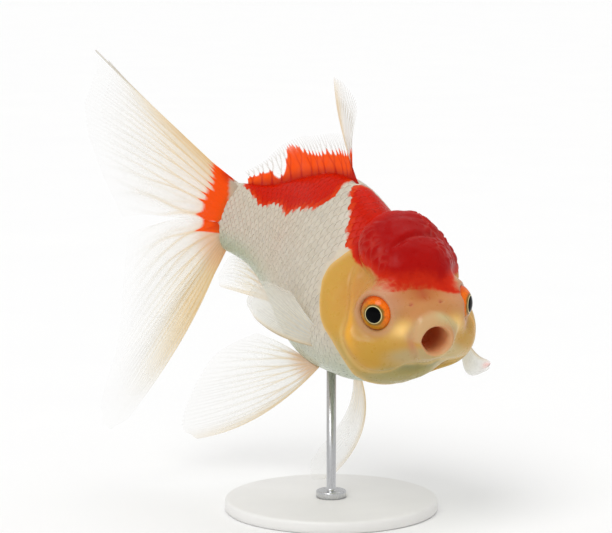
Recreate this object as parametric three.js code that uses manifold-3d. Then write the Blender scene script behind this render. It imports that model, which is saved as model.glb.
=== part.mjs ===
// A fancy goldfish (oranda) as a life-size still model on a plain display stand.
// Millimetres. +X is the way the trunk heads, +Y the fish's left, +Z up.
// The origin is the middle of the stand's underside.
import * as THREE from 'three';
import { mergeVertices } from 'three/addons/utils/BufferGeometryUtils.js';
import Module from 'manifold-3d';

const RAD = Math.PI / 180;
const GAP = 0.3;                      // space kept between two solids that touch in life

// ---------------------------------------------------------------- pose
const PIVOT = [7.5, 0, 61.5];         // where the spine's pivot section stands
const PIVOT_AT = 44;                  // that section's distance behind the mouth
const TURN = [[-5, -17], [20, -17], [38, -8], [55, 4], [72, 16], [95, 26]];   // distance, heading to the left
const PITCH = [[-5, -8], [18, -9], [40, -15], [70, -17], [95, -17]];          // distance, nose up
const ROLL = 2.5;                     // left side up
const SPINE_FROM = -5;
const SPINE_TO = 100;
const SPINE_STEP = 0.25;

// ---------------------------------------------------------------- body sections
// behind the mouth, up, down, half width, top pinch, belly pinch, drop of the widest level
const SECTIONS = {
  throat_end: [10.5, 0.5, 0.5, 0.5, 0, 0, 0],
  throat: [9.5, 2.6, 2.6, 3.0, 0, 0, 0],
  gape: [4.0, 3.4, 3.4, 3.8, 0, 0, 0],
  lip_in: [1.2, 3.2, 3.3, 3.6, 0, 0, 0],
  lip: [0.0, 3.9, 4.0, 4.4, 0, 0, 0],
  lip_out: [0.8, 5.0, 5.1, 5.6, 0, 0, 0],
  muzzle: [3.4, 6.6, 6.8, 8.2, 0.02, 0, 0.4],
  nostril: [6.6, 9.2, 10.0, 13.0, 0.10, -0.02, 1.4],
  brow: [11.0, 12.2, 13.6, 17.0, 0.22, -0.04, 2.6],
  eye: [16.5, 14.2, 16.8, 19.2, 0.28, -0.05, 3.6],
  cheek: [22.5, 16.0, 19.6, 20.8, 0.34, -0.03, 3.8],
  gill: [29.5, 18.6, 22.4, 21.4, 0.43, 0, 3.4],
  shoulder: [38.0, 23.4, 24.8, 21.0, 0.48, 0.03, 2.4],
  belly: [47.0, 26.4, 25.4, 19.6, 0.42, 0.05, 1.6],
  vent: [57.0, 25.2, 22.0, 16.2, 0.34, 0.06, 1.0],
  rump: [67.0, 20.4, 15.2, 11.2, 0.24, 0.06, 0.5],
  stem: [77.0, 14.4, 9.4, 7.0, 0.12, 0.05, 0],
  tail_root: [87.0, 11.2, 8.0, 4.0, 0, 0, 0],
};
const SECTION_NAMES = Object.keys(SECTIONS);
const SECTION_ROWS = Object.values(SECTIONS);
const LIP = SECTION_NAMES.indexOf('lip');
const LAST = SECTION_ROWS.length - 1;

const MOUTH_CUT = 3.4;                // distance behind the mouth where the lips meet the head
const HEAD_CUT = 34;                  // where the head meets the trunk
const TAIL_CUT = 80;                  // where the trunk meets the tail root

// ---------------------------------------------------------------- facets
const AROUND = 32;                    // round the body
const HEAD_RINGS = 15;
const MOUTH_RINGS = 5;
const TRUNK_RINGS = 14;
const TAIL_ROOT_RINGS = 3;
const CUTTER_RINGS = 34;
const EYE_FACETS = 18;
const EYE_BANDS = 8;
const WEN_FACETS = { spokes: 28, steps: 5 };
const GILL_FACETS = { spokes: 22, steps: 3 };
const BASE_FACETS = 40;
const ROD_FACETS = 16;
const HALVINGS = 40;                  // in a search for a section
const MERGE_WITHIN = 1e-5;

// ---------------------------------------------------------------- eyes, cap and gill covers
// look: degrees off straight ahead
const EYE = { at: 8.4, out: 11.3, up: 5.0, radius: 4.7, depth: 3.2, look: 55 };
const WEN = {
  at: 19.8, angle: 80, front: 12.0, rear: 12.6, side: 44,
  square: 3.0, slant: 0, height: 7.8, round: 3.6,
};
const GILL = {
  at: 16.8, angle: 170, front: 5.2, rear: 5.6, side: 44,
  square: 2.3, slant: -0.27, height: 0.9, round: 6,
};
const EYE_TILT = 0.05;                // how much an eye looks up
const PATCH_RIM = 0.3;                // thickness left at the rim of the cap and gill covers
const CAP_CLEARANCE = 1;              // degrees kept between the cap and the gill covers

// ---------------------------------------------------------------- fins
// Each ray: distance behind the mouth, angle on the body (0 left, 90 back, 180 right, 270 belly),
// the point that bends it and its tip, both from its root as [back, left, up].
const FIN_THICK = 0.6;
const ROOT_SINK = 1;                  // how far under the skin a ray starts
const RAYS = {
  dorsal_fin: [
    [47, 90, [12, 0, 12], [16, 0, 24]],
    [47.8, 90, [10.5, 0, 12.5], [13, 3, 22]],
    [48.7, 90, [8, 1, 9.5], [9, 5, 17]],
    [49.8, 90, [3.5, 1, 7], [5, 1.5, 11]],
    [52, 90, [2.5, 0, 5], [7.5, 0, 10]],
    [58, 90, [3.5, 0, 4.5], [7.5, 0, 8.5]],
    [65, 90, [2, 0, 6], [7, 0, 9]],
    [72, 90, [2.5, 0, 7], [5.5, 0, 8.5]],
    [78, 90, [2, 0, 6.5], [3.5, 0, 6]],
    [84, 90, [0.5, 0, 2.6], [2.4, 0, 3.4]],
  ],
  tail_fin_upper_right: [
    [86, 106, [22.5, -8.5, 12.8], [41, -21.5, 28]],
    [86.5, 128, [26, -11, 17], [37, -22, 26]],
    [87, 150, [24, -11.5, 13], [36.5, -24, 19]],
    [87, 165, [22, -11.5, 5], [32.5, -20, 8.5]],
    [87, 178, [17.5, -9, -1.5], [23.5, -12.5, -5.5]],
  ],
  tail_fin_lower_right: [
    [87, 182, [16.8, -8.4, -2.4], [22, -11.6, -10.5]],
    [87, 200, [11.5, -7.5, -5.5], [16, -13, -35.5]],
    [87, 215, [6, -6.5, -14], [16, -15, -52]],
    [86.5, 235, [5, -5.5, -21], [14, -13, -58]],
    [86, 255, [0, -5, -25.7], [12.2, -10, -56]],
  ],
  tail_fin_upper_left: [
    [86, 74, [25, 1, 6.3], [53.3, 8, 17.1]],
    [86.5, 52, [25.7, 1.5, 5.9], [52.8, 9, 13.7]],
    [87, 30, [29.5, 1.5, 7], [51.5, 9, 6.5]],
    [87, 15, [26, 1, 0.5], [45, 8, -1]],
    [87, 2, [24, 1.5, -5], [32, 5, -9]],
  ],
  tail_fin_lower_left: [
    [87, -2, [23, 1.5, -6.4], [30, 5, -16.5]],
    [87, -20, [15.5, 1, -10], [27.5, 8, -41]],
    [87, -35, [8.5, 1.5, -13], [27.5, 9, -54.5]],
    [86.5, -55, [6.9, 1.5, -21], [23.5, 9, -58.7]],
    [86, -75, [6.3, 1, -29.2], [19.7, 8, -54.9]],
  ],
  anal_fin_right: [
    [65, 256, [13, 0.5, -2], [20.5, -1, -2.8]],
    [68, 256, [12.7, 0.5, 2.9], [17.5, -1, -0.9]],
    [71, 257, [10.3, 0, 7.8], [13.5, 0, 1.4]],
  ],
  pectoral_fin_right: [
    [21.5, 192, [22, -5, -5], [24.7, -10.5, 3.1]],
    [21.2, 188.5, [20.8, -5.5, -1], [26, -10.5, 5.1]],
    [20.8, 185, [17, -5, 3.4], [23.3, -8.5, 9.5]],
    [20.4, 181.5, [9.9, -3, 3.8], [12, -5, 10.1]],
  ],
  pectoral_fin_left: [
    [21.5, -12, [12.5, 11, -13.6], [16.4, 18, -15.6]],
    [21.2, -8.5, [14.1, 9.5, -18.8], [16.2, 17.5, -17.2]],
    [20.8, -5, [15.9, 8, -23.3], [15.5, 16.5, -18.8]],
    [20.4, -1.5, [17.6, 6.5, -26.3], [14.8, 15, -20.3]],
  ],
  pelvic_fin_right: [
    [41, 242, [12, -9, -23.5], [30.5, -18, -32]],
    [41.6, 240, [7, -8.5, -12.5], [31, -19, -27]],
    [42.4, 238, [10.5, -9, -6], [26.5, -18, -15]],
    [43.2, 236, [8, -7.5, 0.5], [22.5, -13, -5]],
    [44, 234, [7, -4, 3.2], [13.8, -8, 3]],
  ],
  pelvic_fin_left: [
    [43.9, 286, [-7.3, 9, -18.5], [-1.6, -6, -34.5]],
    [44.05, 285.7, [-5.2, 8.5, -18.3], [3.1, -6, -35.3]],
    [44.2, 285.4, [-3.3, 7.5, -17.6], [5.3, -5, -32.4]],
    [44.35, 285.1, [-1.8, 6.5, -15.9], [5.6, -3, -28.9]],
    [44.5, 284.8, [-1.4, 4, -12.7], [3, -1, -22.8]],
  ],
};

// across: facets from the first ray to the last; along: facets from root to tip
const FIN_FACETS = {
  dorsal_fin: { across: 21, along: 5 },
  tail: { across: 10, along: 6 },
  small: { across: 8, along: 5 },
};

// ---------------------------------------------------------------- stand
const BASE_RADIUS = 28;
const BASE_HEIGHT = 3.2;
const BASE_BEVEL = 0.6;
const ROD_RADIUS = 1.25;
const ROD_TOP = 45;                   // before it is cut to the belly
const COLLAR_RADIUS = 4;
const COLLAR_HEIGHT = 1.6;

const COLOURS = {
  head: { color: 0xc9a458, roughness: 0.35, metalness: 0 },
  mouth: { color: 0xe0b9a0, roughness: 0.4, metalness: 0 },
  wen: { color: 0xb01a10, roughness: 0.3, metalness: 0 },
  gill_cover: { color: 0xc8a04c, roughness: 0.35, metalness: 0.1 },
  eye: { color: 0x1c130c, roughness: 0.08, metalness: 0 },
  trunk: { color: 0xcfccc2, roughness: 0.35, metalness: 0.15 },
  tail_root: { color: 0xd8cfc0, roughness: 0.35, metalness: 0.15 },
  dorsal_fin: { color: 0xf0a070, roughness: 0.45, metalness: 0 },
  fin: { color: 0xebe2cf, roughness: 0.45, metalness: 0 },
  stand_base: { color: 0xe6e4df, roughness: 0.5, metalness: 0 },
  stand_rod: { color: 0xb4b6b8, roughness: 0.3, metalness: 1 },
};

// ================================================================ curves and frames
// A smooth curve through a few points at unequal steps.
function smoothCurve(xs, ys) {
  const n = xs.length;
  const slopes = xs.map((x, i) => {
    if (i === 0) return (ys[1] - ys[0]) / (xs[1] - xs[0]);
    if (i === n - 1) return (ys[n - 1] - ys[n - 2]) / (xs[n - 1] - xs[n - 2]);
    const before = x - xs[i - 1];
    const after = xs[i + 1] - x;
    const rise = before * before * (ys[i + 1] - ys[i]) + after * after * (ys[i] - ys[i - 1]);
    return rise / (before * after * (before + after));
  });
  return (value) => {
    const x = Math.min(Math.max(value, xs[0]), xs[n - 1]);
    let i = 0;
    while (i < n - 2 && x >= xs[i + 1]) i += 1;
    const h = xs[i + 1] - xs[i];
    const t = (x - xs[i]) / h;
    return (1 + 2 * t) * (1 - t) ** 2 * ys[i] + t * (1 - t) ** 2 * h * slopes[i]
      + t * t * (3 - 2 * t) * ys[i + 1] + t * t * (t - 1) * h * slopes[i + 1];
  };
}

const column = (rows, k) => rows.map((row) => row[k]);

function vector(x, y, z) {
  return new THREE.Vector3(x, y, z);
}

function combine(...pairs) {
  const sum = vector(0, 0, 0);
  for (const [v, amount] of pairs) sum.addScaledVector(v, amount);
  return sum;
}

// The spine runs backward from the mouth; each step keeps its place and its three directions.
function makeSpine() {
  const turn = smoothCurve(column(TURN, 0), column(TURN, 1));
  const pitch = smoothCurve(column(PITCH, 0), column(PITCH, 1));
  const steps = [];
  const place = vector(0, 0, 0);
  for (let u = SPINE_FROM; u <= SPINE_TO + 1e-9; u += SPINE_STEP) {
    const yaw = turn(u) * RAD;
    const lift = pitch(u) * RAD;
    const ahead = vector(Math.cos(lift) * Math.cos(yaw), Math.cos(lift) * Math.sin(yaw), Math.sin(lift));
    const level = vector(-Math.sin(yaw), Math.cos(yaw), 0);
    const upright = ahead.clone().cross(level);
    const left = combine([level, Math.cos(ROLL * RAD)], [upright, Math.sin(ROLL * RAD)]);
    const up = combine([upright, Math.cos(ROLL * RAD)], [level, -Math.sin(ROLL * RAD)]);
    if (steps.length) {
      const previous = steps[steps.length - 1].ahead;
      place.addScaledVector(previous, -SPINE_STEP / 2).addScaledVector(ahead, -SPINE_STEP / 2);
    }
    steps.push({ place: place.clone(), ahead, left, up });
  }
  const shift = vector(...PIVOT).sub(steps[Math.round((PIVOT_AT - SPINE_FROM) / SPINE_STEP)].place);
  for (const step of steps) step.place.add(shift);
  return steps;
}

const SPINE = makeSpine();

function frameAt(u) {
  const x = Math.min(Math.max((u - SPINE_FROM) / SPINE_STEP, 0), SPINE.length - 1.001);
  const i = Math.floor(x);
  const mix = (key) => SPINE[i][key].clone().lerp(SPINE[i + 1][key], x - i);
  return { place: mix('place'), ahead: mix('ahead'), left: mix('left'), up: mix('up') };
}

// A point beside the spine, and a direction given as back, left and up.
function beside(u, side, height) {
  const at = frameAt(u);
  return combine([at.place, 1], [at.left, side], [at.up, height]);
}

function direction(u, [back, left, up]) {
  const at = frameAt(u);
  return combine([at.ahead, -back], [at.left, left], [at.up, up]);
}

// ================================================================ body surface
const SECTION_CURVES = SECTION_ROWS[0].map((_, k) =>
  smoothCurve(SECTION_ROWS.map((_row, i) => i), column(SECTION_ROWS, k)));

function sectionAt(q) {
  return SECTION_CURVES.map((curve) => curve(q));
}

// Where along the list of sections the body is u behind the mouth, outside it or in the throat.
function sectionIndex(u, inThroat = false) {
  let low = LIP;
  let high = inThroat ? 0 : LAST;
  for (let i = 0; i < HALVINGS; i += 1) {
    const middle = (low + high) / 2;
    if (SECTION_CURVES[0](middle) < u) low = middle;
    else high = middle;
  }
  return (low + high) / 2;
}

function surfacePoint([at, up, down, half, topPinch, bellyPinch, drop], angle, grow = 0) {
  const s = Math.sin(angle);
  const c = Math.cos(angle);
  const height = s > 0 ? up : down;
  const pinch = s > 0 ? topPinch : bellyPinch;
  return beside(at, half * c * (1 - pinch * s * s) + grow * c, (height + grow) * s - drop * c * c);
}

function bodyPoint(u, degrees, grow = 0) {
  return surfacePoint(sectionAt(sectionIndex(u)), degrees * RAD, grow);
}

function ring(row, grow = 0) {
  return Array.from({ length: AROUND }, (_, k) => surfacePoint(row, (2 * Math.PI * k) / AROUND, grow));
}

function rings(from, to, count, grow = 0) {
  return Array.from({ length: count + 1 }, (_, i) => ring(sectionAt(from + ((to - from) * i) / count), grow));
}

// ================================================================ solids
function geometryOf(points, faces) {
  let volume = 0;
  for (const [a, b, c] of faces) volume += points[a].dot(points[b].clone().cross(points[c]));
  const index = faces.flatMap(([a, b, c]) => (volume > 0 ? [a, b, c] : [a, c, b]));
  const geometry = new THREE.BufferGeometry();
  const places = points.flatMap((p) => [p.x, p.y, p.z]);
  geometry.setAttribute('position', new THREE.Float32BufferAttribute(places, 3));
  geometry.setIndex(index);
  return geometry;
}

function middleOf(points) {
  const sum = vector(0, 0, 0);
  for (const p of points) sum.add(p);
  return sum.divideScalar(points.length);
}

// Joins rings of equal count into a closed solid; a loop joins the last ring to the first.
function loft(ringList, { loop = false, startPoint, endPoint } = {}) {
  const count = ringList[0].length;
  const points = ringList.flat();
  const faces = [];
  const bands = loop ? ringList.length : ringList.length - 1;
  for (let i = 0; i < bands; i += 1) {
    const a = i * count;
    const b = ((i + 1) % ringList.length) * count;
    for (let k = 0; k < count; k += 1) {
      const next = (k + 1) % count;
      faces.push([a + k, b + k, b + next], [a + k, b + next, a + next]);
    }
  }
  if (!loop) {
    const last = (ringList.length - 1) * count;
    points.push(startPoint ?? middleOf(ringList[0]), endPoint ?? middleOf(ringList[ringList.length - 1]));
    for (let k = 0; k < count; k += 1) {
      const next = (k + 1) % count;
      faces.push([k, next, points.length - 2], [last + next, last + k, points.length - 1]);
    }
  }
  return geometryOf(points, faces);
}

// A sheet of points, thickened both ways and closed all round its edge.
function thicken(sheet, thickness) {
  const rows = sheet.length;
  const columns = sheet[0].length;
  const points = [];
  for (const side of [1, -1]) {
    for (let i = 0; i < rows; i += 1) {
      for (let j = 0; j < columns; j += 1) {
        const across = sheet[Math.min(i + 1, rows - 1)][j].clone().sub(sheet[Math.max(i - 1, 0)][j]);
        const along = sheet[i][Math.min(j + 1, columns - 1)].clone().sub(sheet[i][Math.max(j - 1, 0)]);
        points.push(combine([sheet[i][j], 1], [across.cross(along).normalize(), (side * thickness) / 2]));
      }
    }
  }
  const at = (side, i, j) => side * rows * columns + i * columns + j;
  const faces = [];
  const quad = (a, b, c, d) => faces.push([a, b, c], [a, c, d]);
  for (let i = 0; i < rows - 1; i += 1) {
    for (let j = 0; j < columns - 1; j += 1) {
      quad(at(0, i, j), at(0, i, j + 1), at(0, i + 1, j + 1), at(0, i + 1, j));
      quad(at(1, i, j), at(1, i + 1, j), at(1, i + 1, j + 1), at(1, i, j + 1));
    }
  }
  for (let i = 0; i < rows - 1; i += 1) {
    const end = columns - 1;
    quad(at(0, i, 0), at(0, i + 1, 0), at(1, i + 1, 0), at(1, i, 0));
    quad(at(0, i + 1, end), at(0, i, end), at(1, i, end), at(1, i + 1, end));
  }
  for (let j = 0; j < columns - 1; j += 1) {
    const end = rows - 1;
    quad(at(0, 0, j + 1), at(0, 0, j), at(1, 0, j), at(1, 0, j + 1));
    quad(at(0, end, j), at(0, end, j + 1), at(1, end, j + 1), at(1, end, j));
  }
  return geometryOf(points, faces);
}

// A cushion or plate lying on the skin: a rounded patch in distance and angle round the body.
function skinPatch(patch, { spokes, steps }, mirrored = false) {
  const points = [];
  const put = (spoke, r, thick) => {
    const c = Math.cos(spoke);
    const s = Math.sin(spoke);
    const reach = r * (Math.abs(c) ** patch.square + Math.abs(s) ** patch.square) ** (-1 / patch.square);
    const turned = patch.side * reach * s;
    const u = patch.at + patch.slant * turned + (c > 0 ? patch.rear : patch.front) * reach * c;
    const angle = patch.angle + turned;
    const rise = PATCH_RIM + (patch.height - PATCH_RIM) * Math.sqrt(Math.max(1 - r ** patch.round, 0));
    points.push(bodyPoint(u, mirrored ? 180 - angle : angle, thick ? GAP + rise : -ROOT_SINK));
    return points.length - 1;
  };
  const radii = Array.from({ length: steps }, (_, i) => Math.sin(((i + 1) / steps) * Math.PI / 2));
  const sheet = (thick, rim) => radii.map((r, i) => {
    if (i === steps - 1 && rim) return rim;
    return Array.from({ length: spokes }, (_, k) => put((2 * Math.PI * k) / spokes, r, thick));
  });
  const outer = sheet(true);
  const inner = sheet(false, outer[steps - 1]);
  const faces = [];
  for (const [rows, centre, flip] of [[outer, put(0, 0, true), false], [inner, put(0, 0, false), true]]) {
    const face = (a, b, c) => faces.push(flip ? [a, c, b] : [a, b, c]);
    for (let k = 0; k < spokes; k += 1) {
      const next = (k + 1) % spokes;
      face(centre, rows[0][k], rows[0][next]);
      for (let i = 0; i < steps - 1; i += 1) {
        face(rows[i][k], rows[i + 1][k], rows[i + 1][next]);
        face(rows[i][k], rows[i + 1][next], rows[i][next]);
      }
    }
  }
  return geometryOf(points, faces);
}

// An eyeball flattened along the way it looks.
function eyeball(side, grow = 0) {
  const centre = beside(EYE.at, side * EYE.out, EYE.up);
  const turn = EYE.look * RAD;
  const look = direction(EYE.at, [-Math.cos(turn), side * Math.sin(turn), EYE_TILT]).normalize();
  const across = look.clone().cross(vector(0, 0, 1)).normalize();
  const upright = across.clone().cross(look);
  const ringList = [];
  for (let i = 1; i < EYE_BANDS; i += 1) {
    const polar = (Math.PI * i) / EYE_BANDS;
    const r = (EYE.radius + grow) * Math.sin(polar);
    ringList.push(Array.from({ length: EYE_FACETS }, (_, k) => {
      const turn = (2 * Math.PI * k) / EYE_FACETS;
      return combine([centre, 1], [look, (EYE.depth + grow) * Math.cos(polar)],
        [across, r * Math.cos(turn)], [upright, r * Math.sin(turn)]);
    }));
  }
  return loft(ringList, {
    startPoint: combine([centre, 1], [look, EYE.depth + grow]),
    endPoint: combine([centre, 1], [look, -EYE.depth - grow]),
  });
}

// A turned solid on the origin's axis, from pairs of radius and height.
function turned(profile, count) {
  return loft(profile.map(([r, z]) => Array.from({ length: count }, (_, k) => {
    const turn = (2 * Math.PI * k) / count;
    return vector(r * Math.cos(turn), r * Math.sin(turn), z);
  })));
}

// Each ray leaves its root towards its bending point and ends at its tip.
function finSheet(rays, { across, along }) {
  const shares = rays.map((_, i) => i / (rays.length - 1));
  const curve = (pick) => smoothCurve(shares, rays.map(pick));
  const at = curve((ray) => ray[0]);
  const angle = curve((ray) => ray[1]);
  const bend = [0, 1, 2].map((k) => curve((ray) => ray[2][k]));
  const tip = [0, 1, 2].map((k) => curve((ray) => ray[3][k]));
  return Array.from({ length: across + 1 }, (_, i) => {
    const share = i / across;
    const u = at(share);
    const root = bodyPoint(u, angle(share), -ROOT_SINK);
    const pull = direction(u, bend.map((c) => c(share)));
    const end = direction(u, tip.map((c) => c(share)));
    return Array.from({ length: along + 1 }, (_unused, j) => {
      const t = j / along;
      return combine([root, 1], [pull, 2 * t * (1 - t)], [end, t * t]);
    });
  });
}

function mirroredRays(rays) {
  return rays.map(([u, angle, [b0, l0, u0], [b1, l1, u1]]) => [u, 180 - angle, [b0, -l0, u0], [b1, -l1, u1]]);
}

// ================================================================ cutting
const wasm = await Module();
wasm.setup();

function toManifold(geometry) {
  const merged = mergeVertices(geometry, MERGE_WITHIN);
  return new wasm.Manifold(new wasm.Mesh({
    numProp: 3,
    vertProperties: new Float32Array(merged.attributes.position.array),
    triVerts: new Uint32Array(merged.index.array),
  }));
}

function fromManifold(solid) {
  const mesh = solid.getMesh();
  const geometry = new THREE.BufferGeometry();
  geometry.setAttribute('position', new THREE.Float32BufferAttribute(mesh.vertProperties, 3));
  geometry.setIndex(Array.from(mesh.triVerts));
  return geometry;
}

function cut(geometry, ...cutters) {
  let solid = toManifold(geometry);
  for (const cutter of cutters) solid = solid.subtract(toManifold(cutter));
  const pieces = solid.decompose();
  pieces.sort((a, b) => b.volume() - a.volume());
  return fromManifold(pieces[0]);
}

// ================================================================ the model
const model = new THREE.Group();
model.name = 'fancy_goldfish';
const fish = new THREE.Group();
fish.name = 'fish';
const stand = new THREE.Group();
stand.name = 'stand';
model.add(fish, stand);

function addPart(group, name, geometry, look) {
  const mesh = new THREE.Mesh(geometry, new THREE.MeshStandardMaterial(COLOURS[look]));
  mesh.name = name;
  group.add(mesh);
}

const SOCKETS = [eyeball(-1, GAP), eyeball(1, GAP)];
const headEnd = sectionIndex(HEAD_CUT - GAP / 2);
const throatRings = [...rings(0, 1, 1), ring(sectionAt(sectionIndex(MOUTH_CUT + GAP / 2, true)))];
const headRings = rings(sectionIndex(MOUTH_CUT + GAP / 2), headEnd, HEAD_RINGS);
addPart(fish, 'head', cut(loft([...throatRings, ...headRings]), ...SOCKETS), 'head');

const mouthBack = MOUTH_CUT - GAP / 2;
addPart(fish, 'mouth', loft([
  ...rings(sectionIndex(mouthBack, true), LIP - 1, 1),
  ...rings(LIP - 0.5, sectionIndex(mouthBack), MOUTH_RINGS),
], { loop: true }), 'mouth');

const trunkRings = rings(sectionIndex(HEAD_CUT + GAP / 2), sectionIndex(TAIL_CUT - GAP / 2), TRUNK_RINGS);
addPart(fish, 'trunk', loft(trunkRings), 'trunk');
addPart(fish, 'tail_root', loft(rings(sectionIndex(TAIL_CUT + GAP / 2), LAST, TAIL_ROOT_RINGS)), 'tail_root');
const lastRow = SECTION_ROWS[LAST];
const bodyCutter = loft([
  ...rings(sectionIndex(MOUTH_CUT), LAST, CUTTER_RINGS, GAP),
  ring([lastRow[0] + GAP, ...lastRow.slice(1)], GAP),
]);
addPart(fish, 'wen', cut(skinPatch(WEN, WEN_FACETS), bodyCutter, ...SOCKETS), 'wen');
const wenCutter = skinPatch({
  ...WEN,
  front: WEN.front + GAP,
  rear: WEN.rear + GAP,
  side: WEN.side + CAP_CLEARANCE,
  height: WEN.height + GAP,
}, WEN_FACETS);

for (const [name, side] of [['right', -1], ['left', 1]]) {
  const cover = skinPatch(GILL, GILL_FACETS, side > 0);
  addPart(fish, `gill_cover_${name}`, cut(cover, bodyCutter, wenCutter, ...SOCKETS), 'gill_cover');
  addPart(fish, `eye_${name}`, eyeball(side), 'eye');
}

const allRays = { ...RAYS, anal_fin_left: mirroredRays(RAYS.anal_fin_right) };
for (const [name, rays] of Object.entries(allRays)) {
  const facets = FIN_FACETS[name] ?? (name.startsWith('tail') ? FIN_FACETS.tail : FIN_FACETS.small);
  const solid = cut(thicken(finSheet(rays, facets), FIN_THICK), bodyCutter);
  addPart(fish, name, solid, name === 'dorsal_fin' ? name : 'fin');
}

addPart(stand, 'stand_base', turned([
  [BASE_RADIUS, 0],
  [BASE_RADIUS, BASE_HEIGHT - BASE_BEVEL],
  [BASE_RADIUS - BASE_BEVEL, BASE_HEIGHT],
], BASE_FACETS), 'stand_base');
const collarTop = BASE_HEIGHT + GAP + COLLAR_HEIGHT;
addPart(stand, 'stand_rod', cut(turned([
  [COLLAR_RADIUS, BASE_HEIGHT + GAP],
  [COLLAR_RADIUS, collarTop - BASE_BEVEL],
  [COLLAR_RADIUS - BASE_BEVEL, collarTop],
  [ROD_RADIUS, collarTop],
  [ROD_RADIUS, ROD_TOP],
], ROD_FACETS), bodyCutter), 'stand_rod');

export default model;
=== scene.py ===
"""A fancy goldfish (oranda) on a plain display stand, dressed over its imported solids.

Shape functions work in millimetres and meshes are made in metres. +X is the way the trunk
heads, +Y the fish's left, +Z up, and the origin is the middle of the stand's underside.
The pose, sections and fin rays repeat the values that the solids are made from.
"""

import math

import bpy
import numpy as np
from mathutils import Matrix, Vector


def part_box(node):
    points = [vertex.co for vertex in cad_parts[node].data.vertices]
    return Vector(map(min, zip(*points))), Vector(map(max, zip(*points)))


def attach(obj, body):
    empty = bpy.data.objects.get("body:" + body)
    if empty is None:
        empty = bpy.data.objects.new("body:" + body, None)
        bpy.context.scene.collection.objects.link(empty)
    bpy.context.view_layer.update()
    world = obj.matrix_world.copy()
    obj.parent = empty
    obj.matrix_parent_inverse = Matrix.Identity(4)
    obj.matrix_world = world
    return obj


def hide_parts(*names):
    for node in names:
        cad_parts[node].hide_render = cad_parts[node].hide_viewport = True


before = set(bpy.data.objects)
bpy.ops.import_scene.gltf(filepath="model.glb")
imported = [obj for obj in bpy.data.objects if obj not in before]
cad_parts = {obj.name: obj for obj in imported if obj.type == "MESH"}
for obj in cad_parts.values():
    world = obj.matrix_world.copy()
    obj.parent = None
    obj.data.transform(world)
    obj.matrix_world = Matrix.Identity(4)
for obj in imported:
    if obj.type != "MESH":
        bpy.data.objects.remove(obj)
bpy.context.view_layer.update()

MM = 0.001
RAD = math.pi / 180

# -------- pose and body
PIVOT = (7.5, 0, 61.5)
PIVOT_AT = 44
TURN = [(-5, -17), (20, -17), (38, -8), (55, 4), (72, 16), (95, 26)]
PITCH = [(-5, -8), (18, -9), (40, -15), (70, -17), (95, -17)]
ROLL = 2.5
SPINE_FROM = -5
SPINE_TO = 100
SPINE_STEP = 0.25

# behind the mouth, up, down, half width, top pinch, belly pinch, drop of the widest level
SECTIONS = {
    "throat_end": (10.5, 0.5, 0.5, 0.5, 0, 0, 0),
    "throat": (9.5, 2.6, 2.6, 3.0, 0, 0, 0),
    "gape": (4.0, 3.4, 3.4, 3.8, 0, 0, 0),
    "lip_in": (1.2, 3.2, 3.3, 3.6, 0, 0, 0),
    "lip": (0.0, 3.9, 4.0, 4.4, 0, 0, 0),
    "lip_out": (0.8, 5.0, 5.1, 5.6, 0, 0, 0),
    "muzzle": (3.4, 6.6, 6.8, 8.2, 0.02, 0, 0.4),
    "nostril": (6.6, 9.2, 10.0, 13.0, 0.10, -0.02, 1.4),
    "brow": (11.0, 12.2, 13.6, 17.0, 0.22, -0.04, 2.6),
    "eye": (16.5, 14.2, 16.8, 19.2, 0.28, -0.05, 3.6),
    "cheek": (22.5, 16.0, 19.6, 20.8, 0.34, -0.03, 3.8),
    "gill": (29.5, 18.6, 22.4, 21.4, 0.43, 0, 3.4),
    "shoulder": (38.0, 23.4, 24.8, 21.0, 0.48, 0.03, 2.4),
    "belly": (47.0, 26.4, 25.4, 19.6, 0.42, 0.05, 1.6),
    "vent": (57.0, 25.2, 22.0, 16.2, 0.34, 0.06, 1.0),
    "rump": (67.0, 20.4, 15.2, 11.2, 0.24, 0.06, 0.5),
    "stem": (77.0, 14.4, 9.4, 7.0, 0.12, 0.05, 0),
    "tail_root": (87.0, 11.2, 8.0, 4.0, 0, 0, 0),
}
SECTION_ROWS = np.array(list(SECTIONS.values()), float)
LIP = list(SECTIONS).index("lip")
LAST = len(SECTIONS) - 1
BODY_END = SECTION_ROWS[LAST, 0]

EYE = {"at": 8.4, "out": 11.3, "up": 5.0, "radius": 4.7, "look": 55}
WEN = {"at": 19.8, "angle": 80, "front": 12.0, "rear": 12.6, "side": 44, "square": 3.0,
       "height": 7.8, "round_front": 2.6, "round_rear": 4.0}

# Lines over the head, each as the angle on the right side against the distance behind the mouth.
GILL_EDGE = [(90, 29.5), (120, 30), (134, 31.4), (143, 32.0), (149, 31.0), (155, 28.2), (162, 24.6),
             (167, 21.9), (172, 19.4), (180, 16.6), (188, 14.9), (198, 13.8), (210, 13.4), (224, 14.0),
             (245, 15), (270, 16)]
CHEEK_LINE = [(90, 26), (130, 24.2), (138, 21.6), (145, 18.3), (155, 15.4), (167, 13.7), (182, 12),
              (196, 10.8), (211, 10), (226, 9.2), (235, 7.9), (242, 6.2), (270, 5.5)]
LIP_FOLD = [(90, 3.0), (120, 2.2), (150, 1.3), (165, 1.2), (195, 1.3), (226, 1.8), (250, 3.2),
            (270, 3.6)]
FURROW = [(50, 23), (59, 21.8), (70, 19.1), (79, 17.7), (88, 16.6), (100, 15.4), (115, 14.4)]
JAW_FOLD = 6.2
PLATE_RISE = 0.8                      # a gill cover's rear edge over the trunk
SKIN_DEPTH = 0.3                      # the trunk's skin under the solids, which the scales fill

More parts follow.
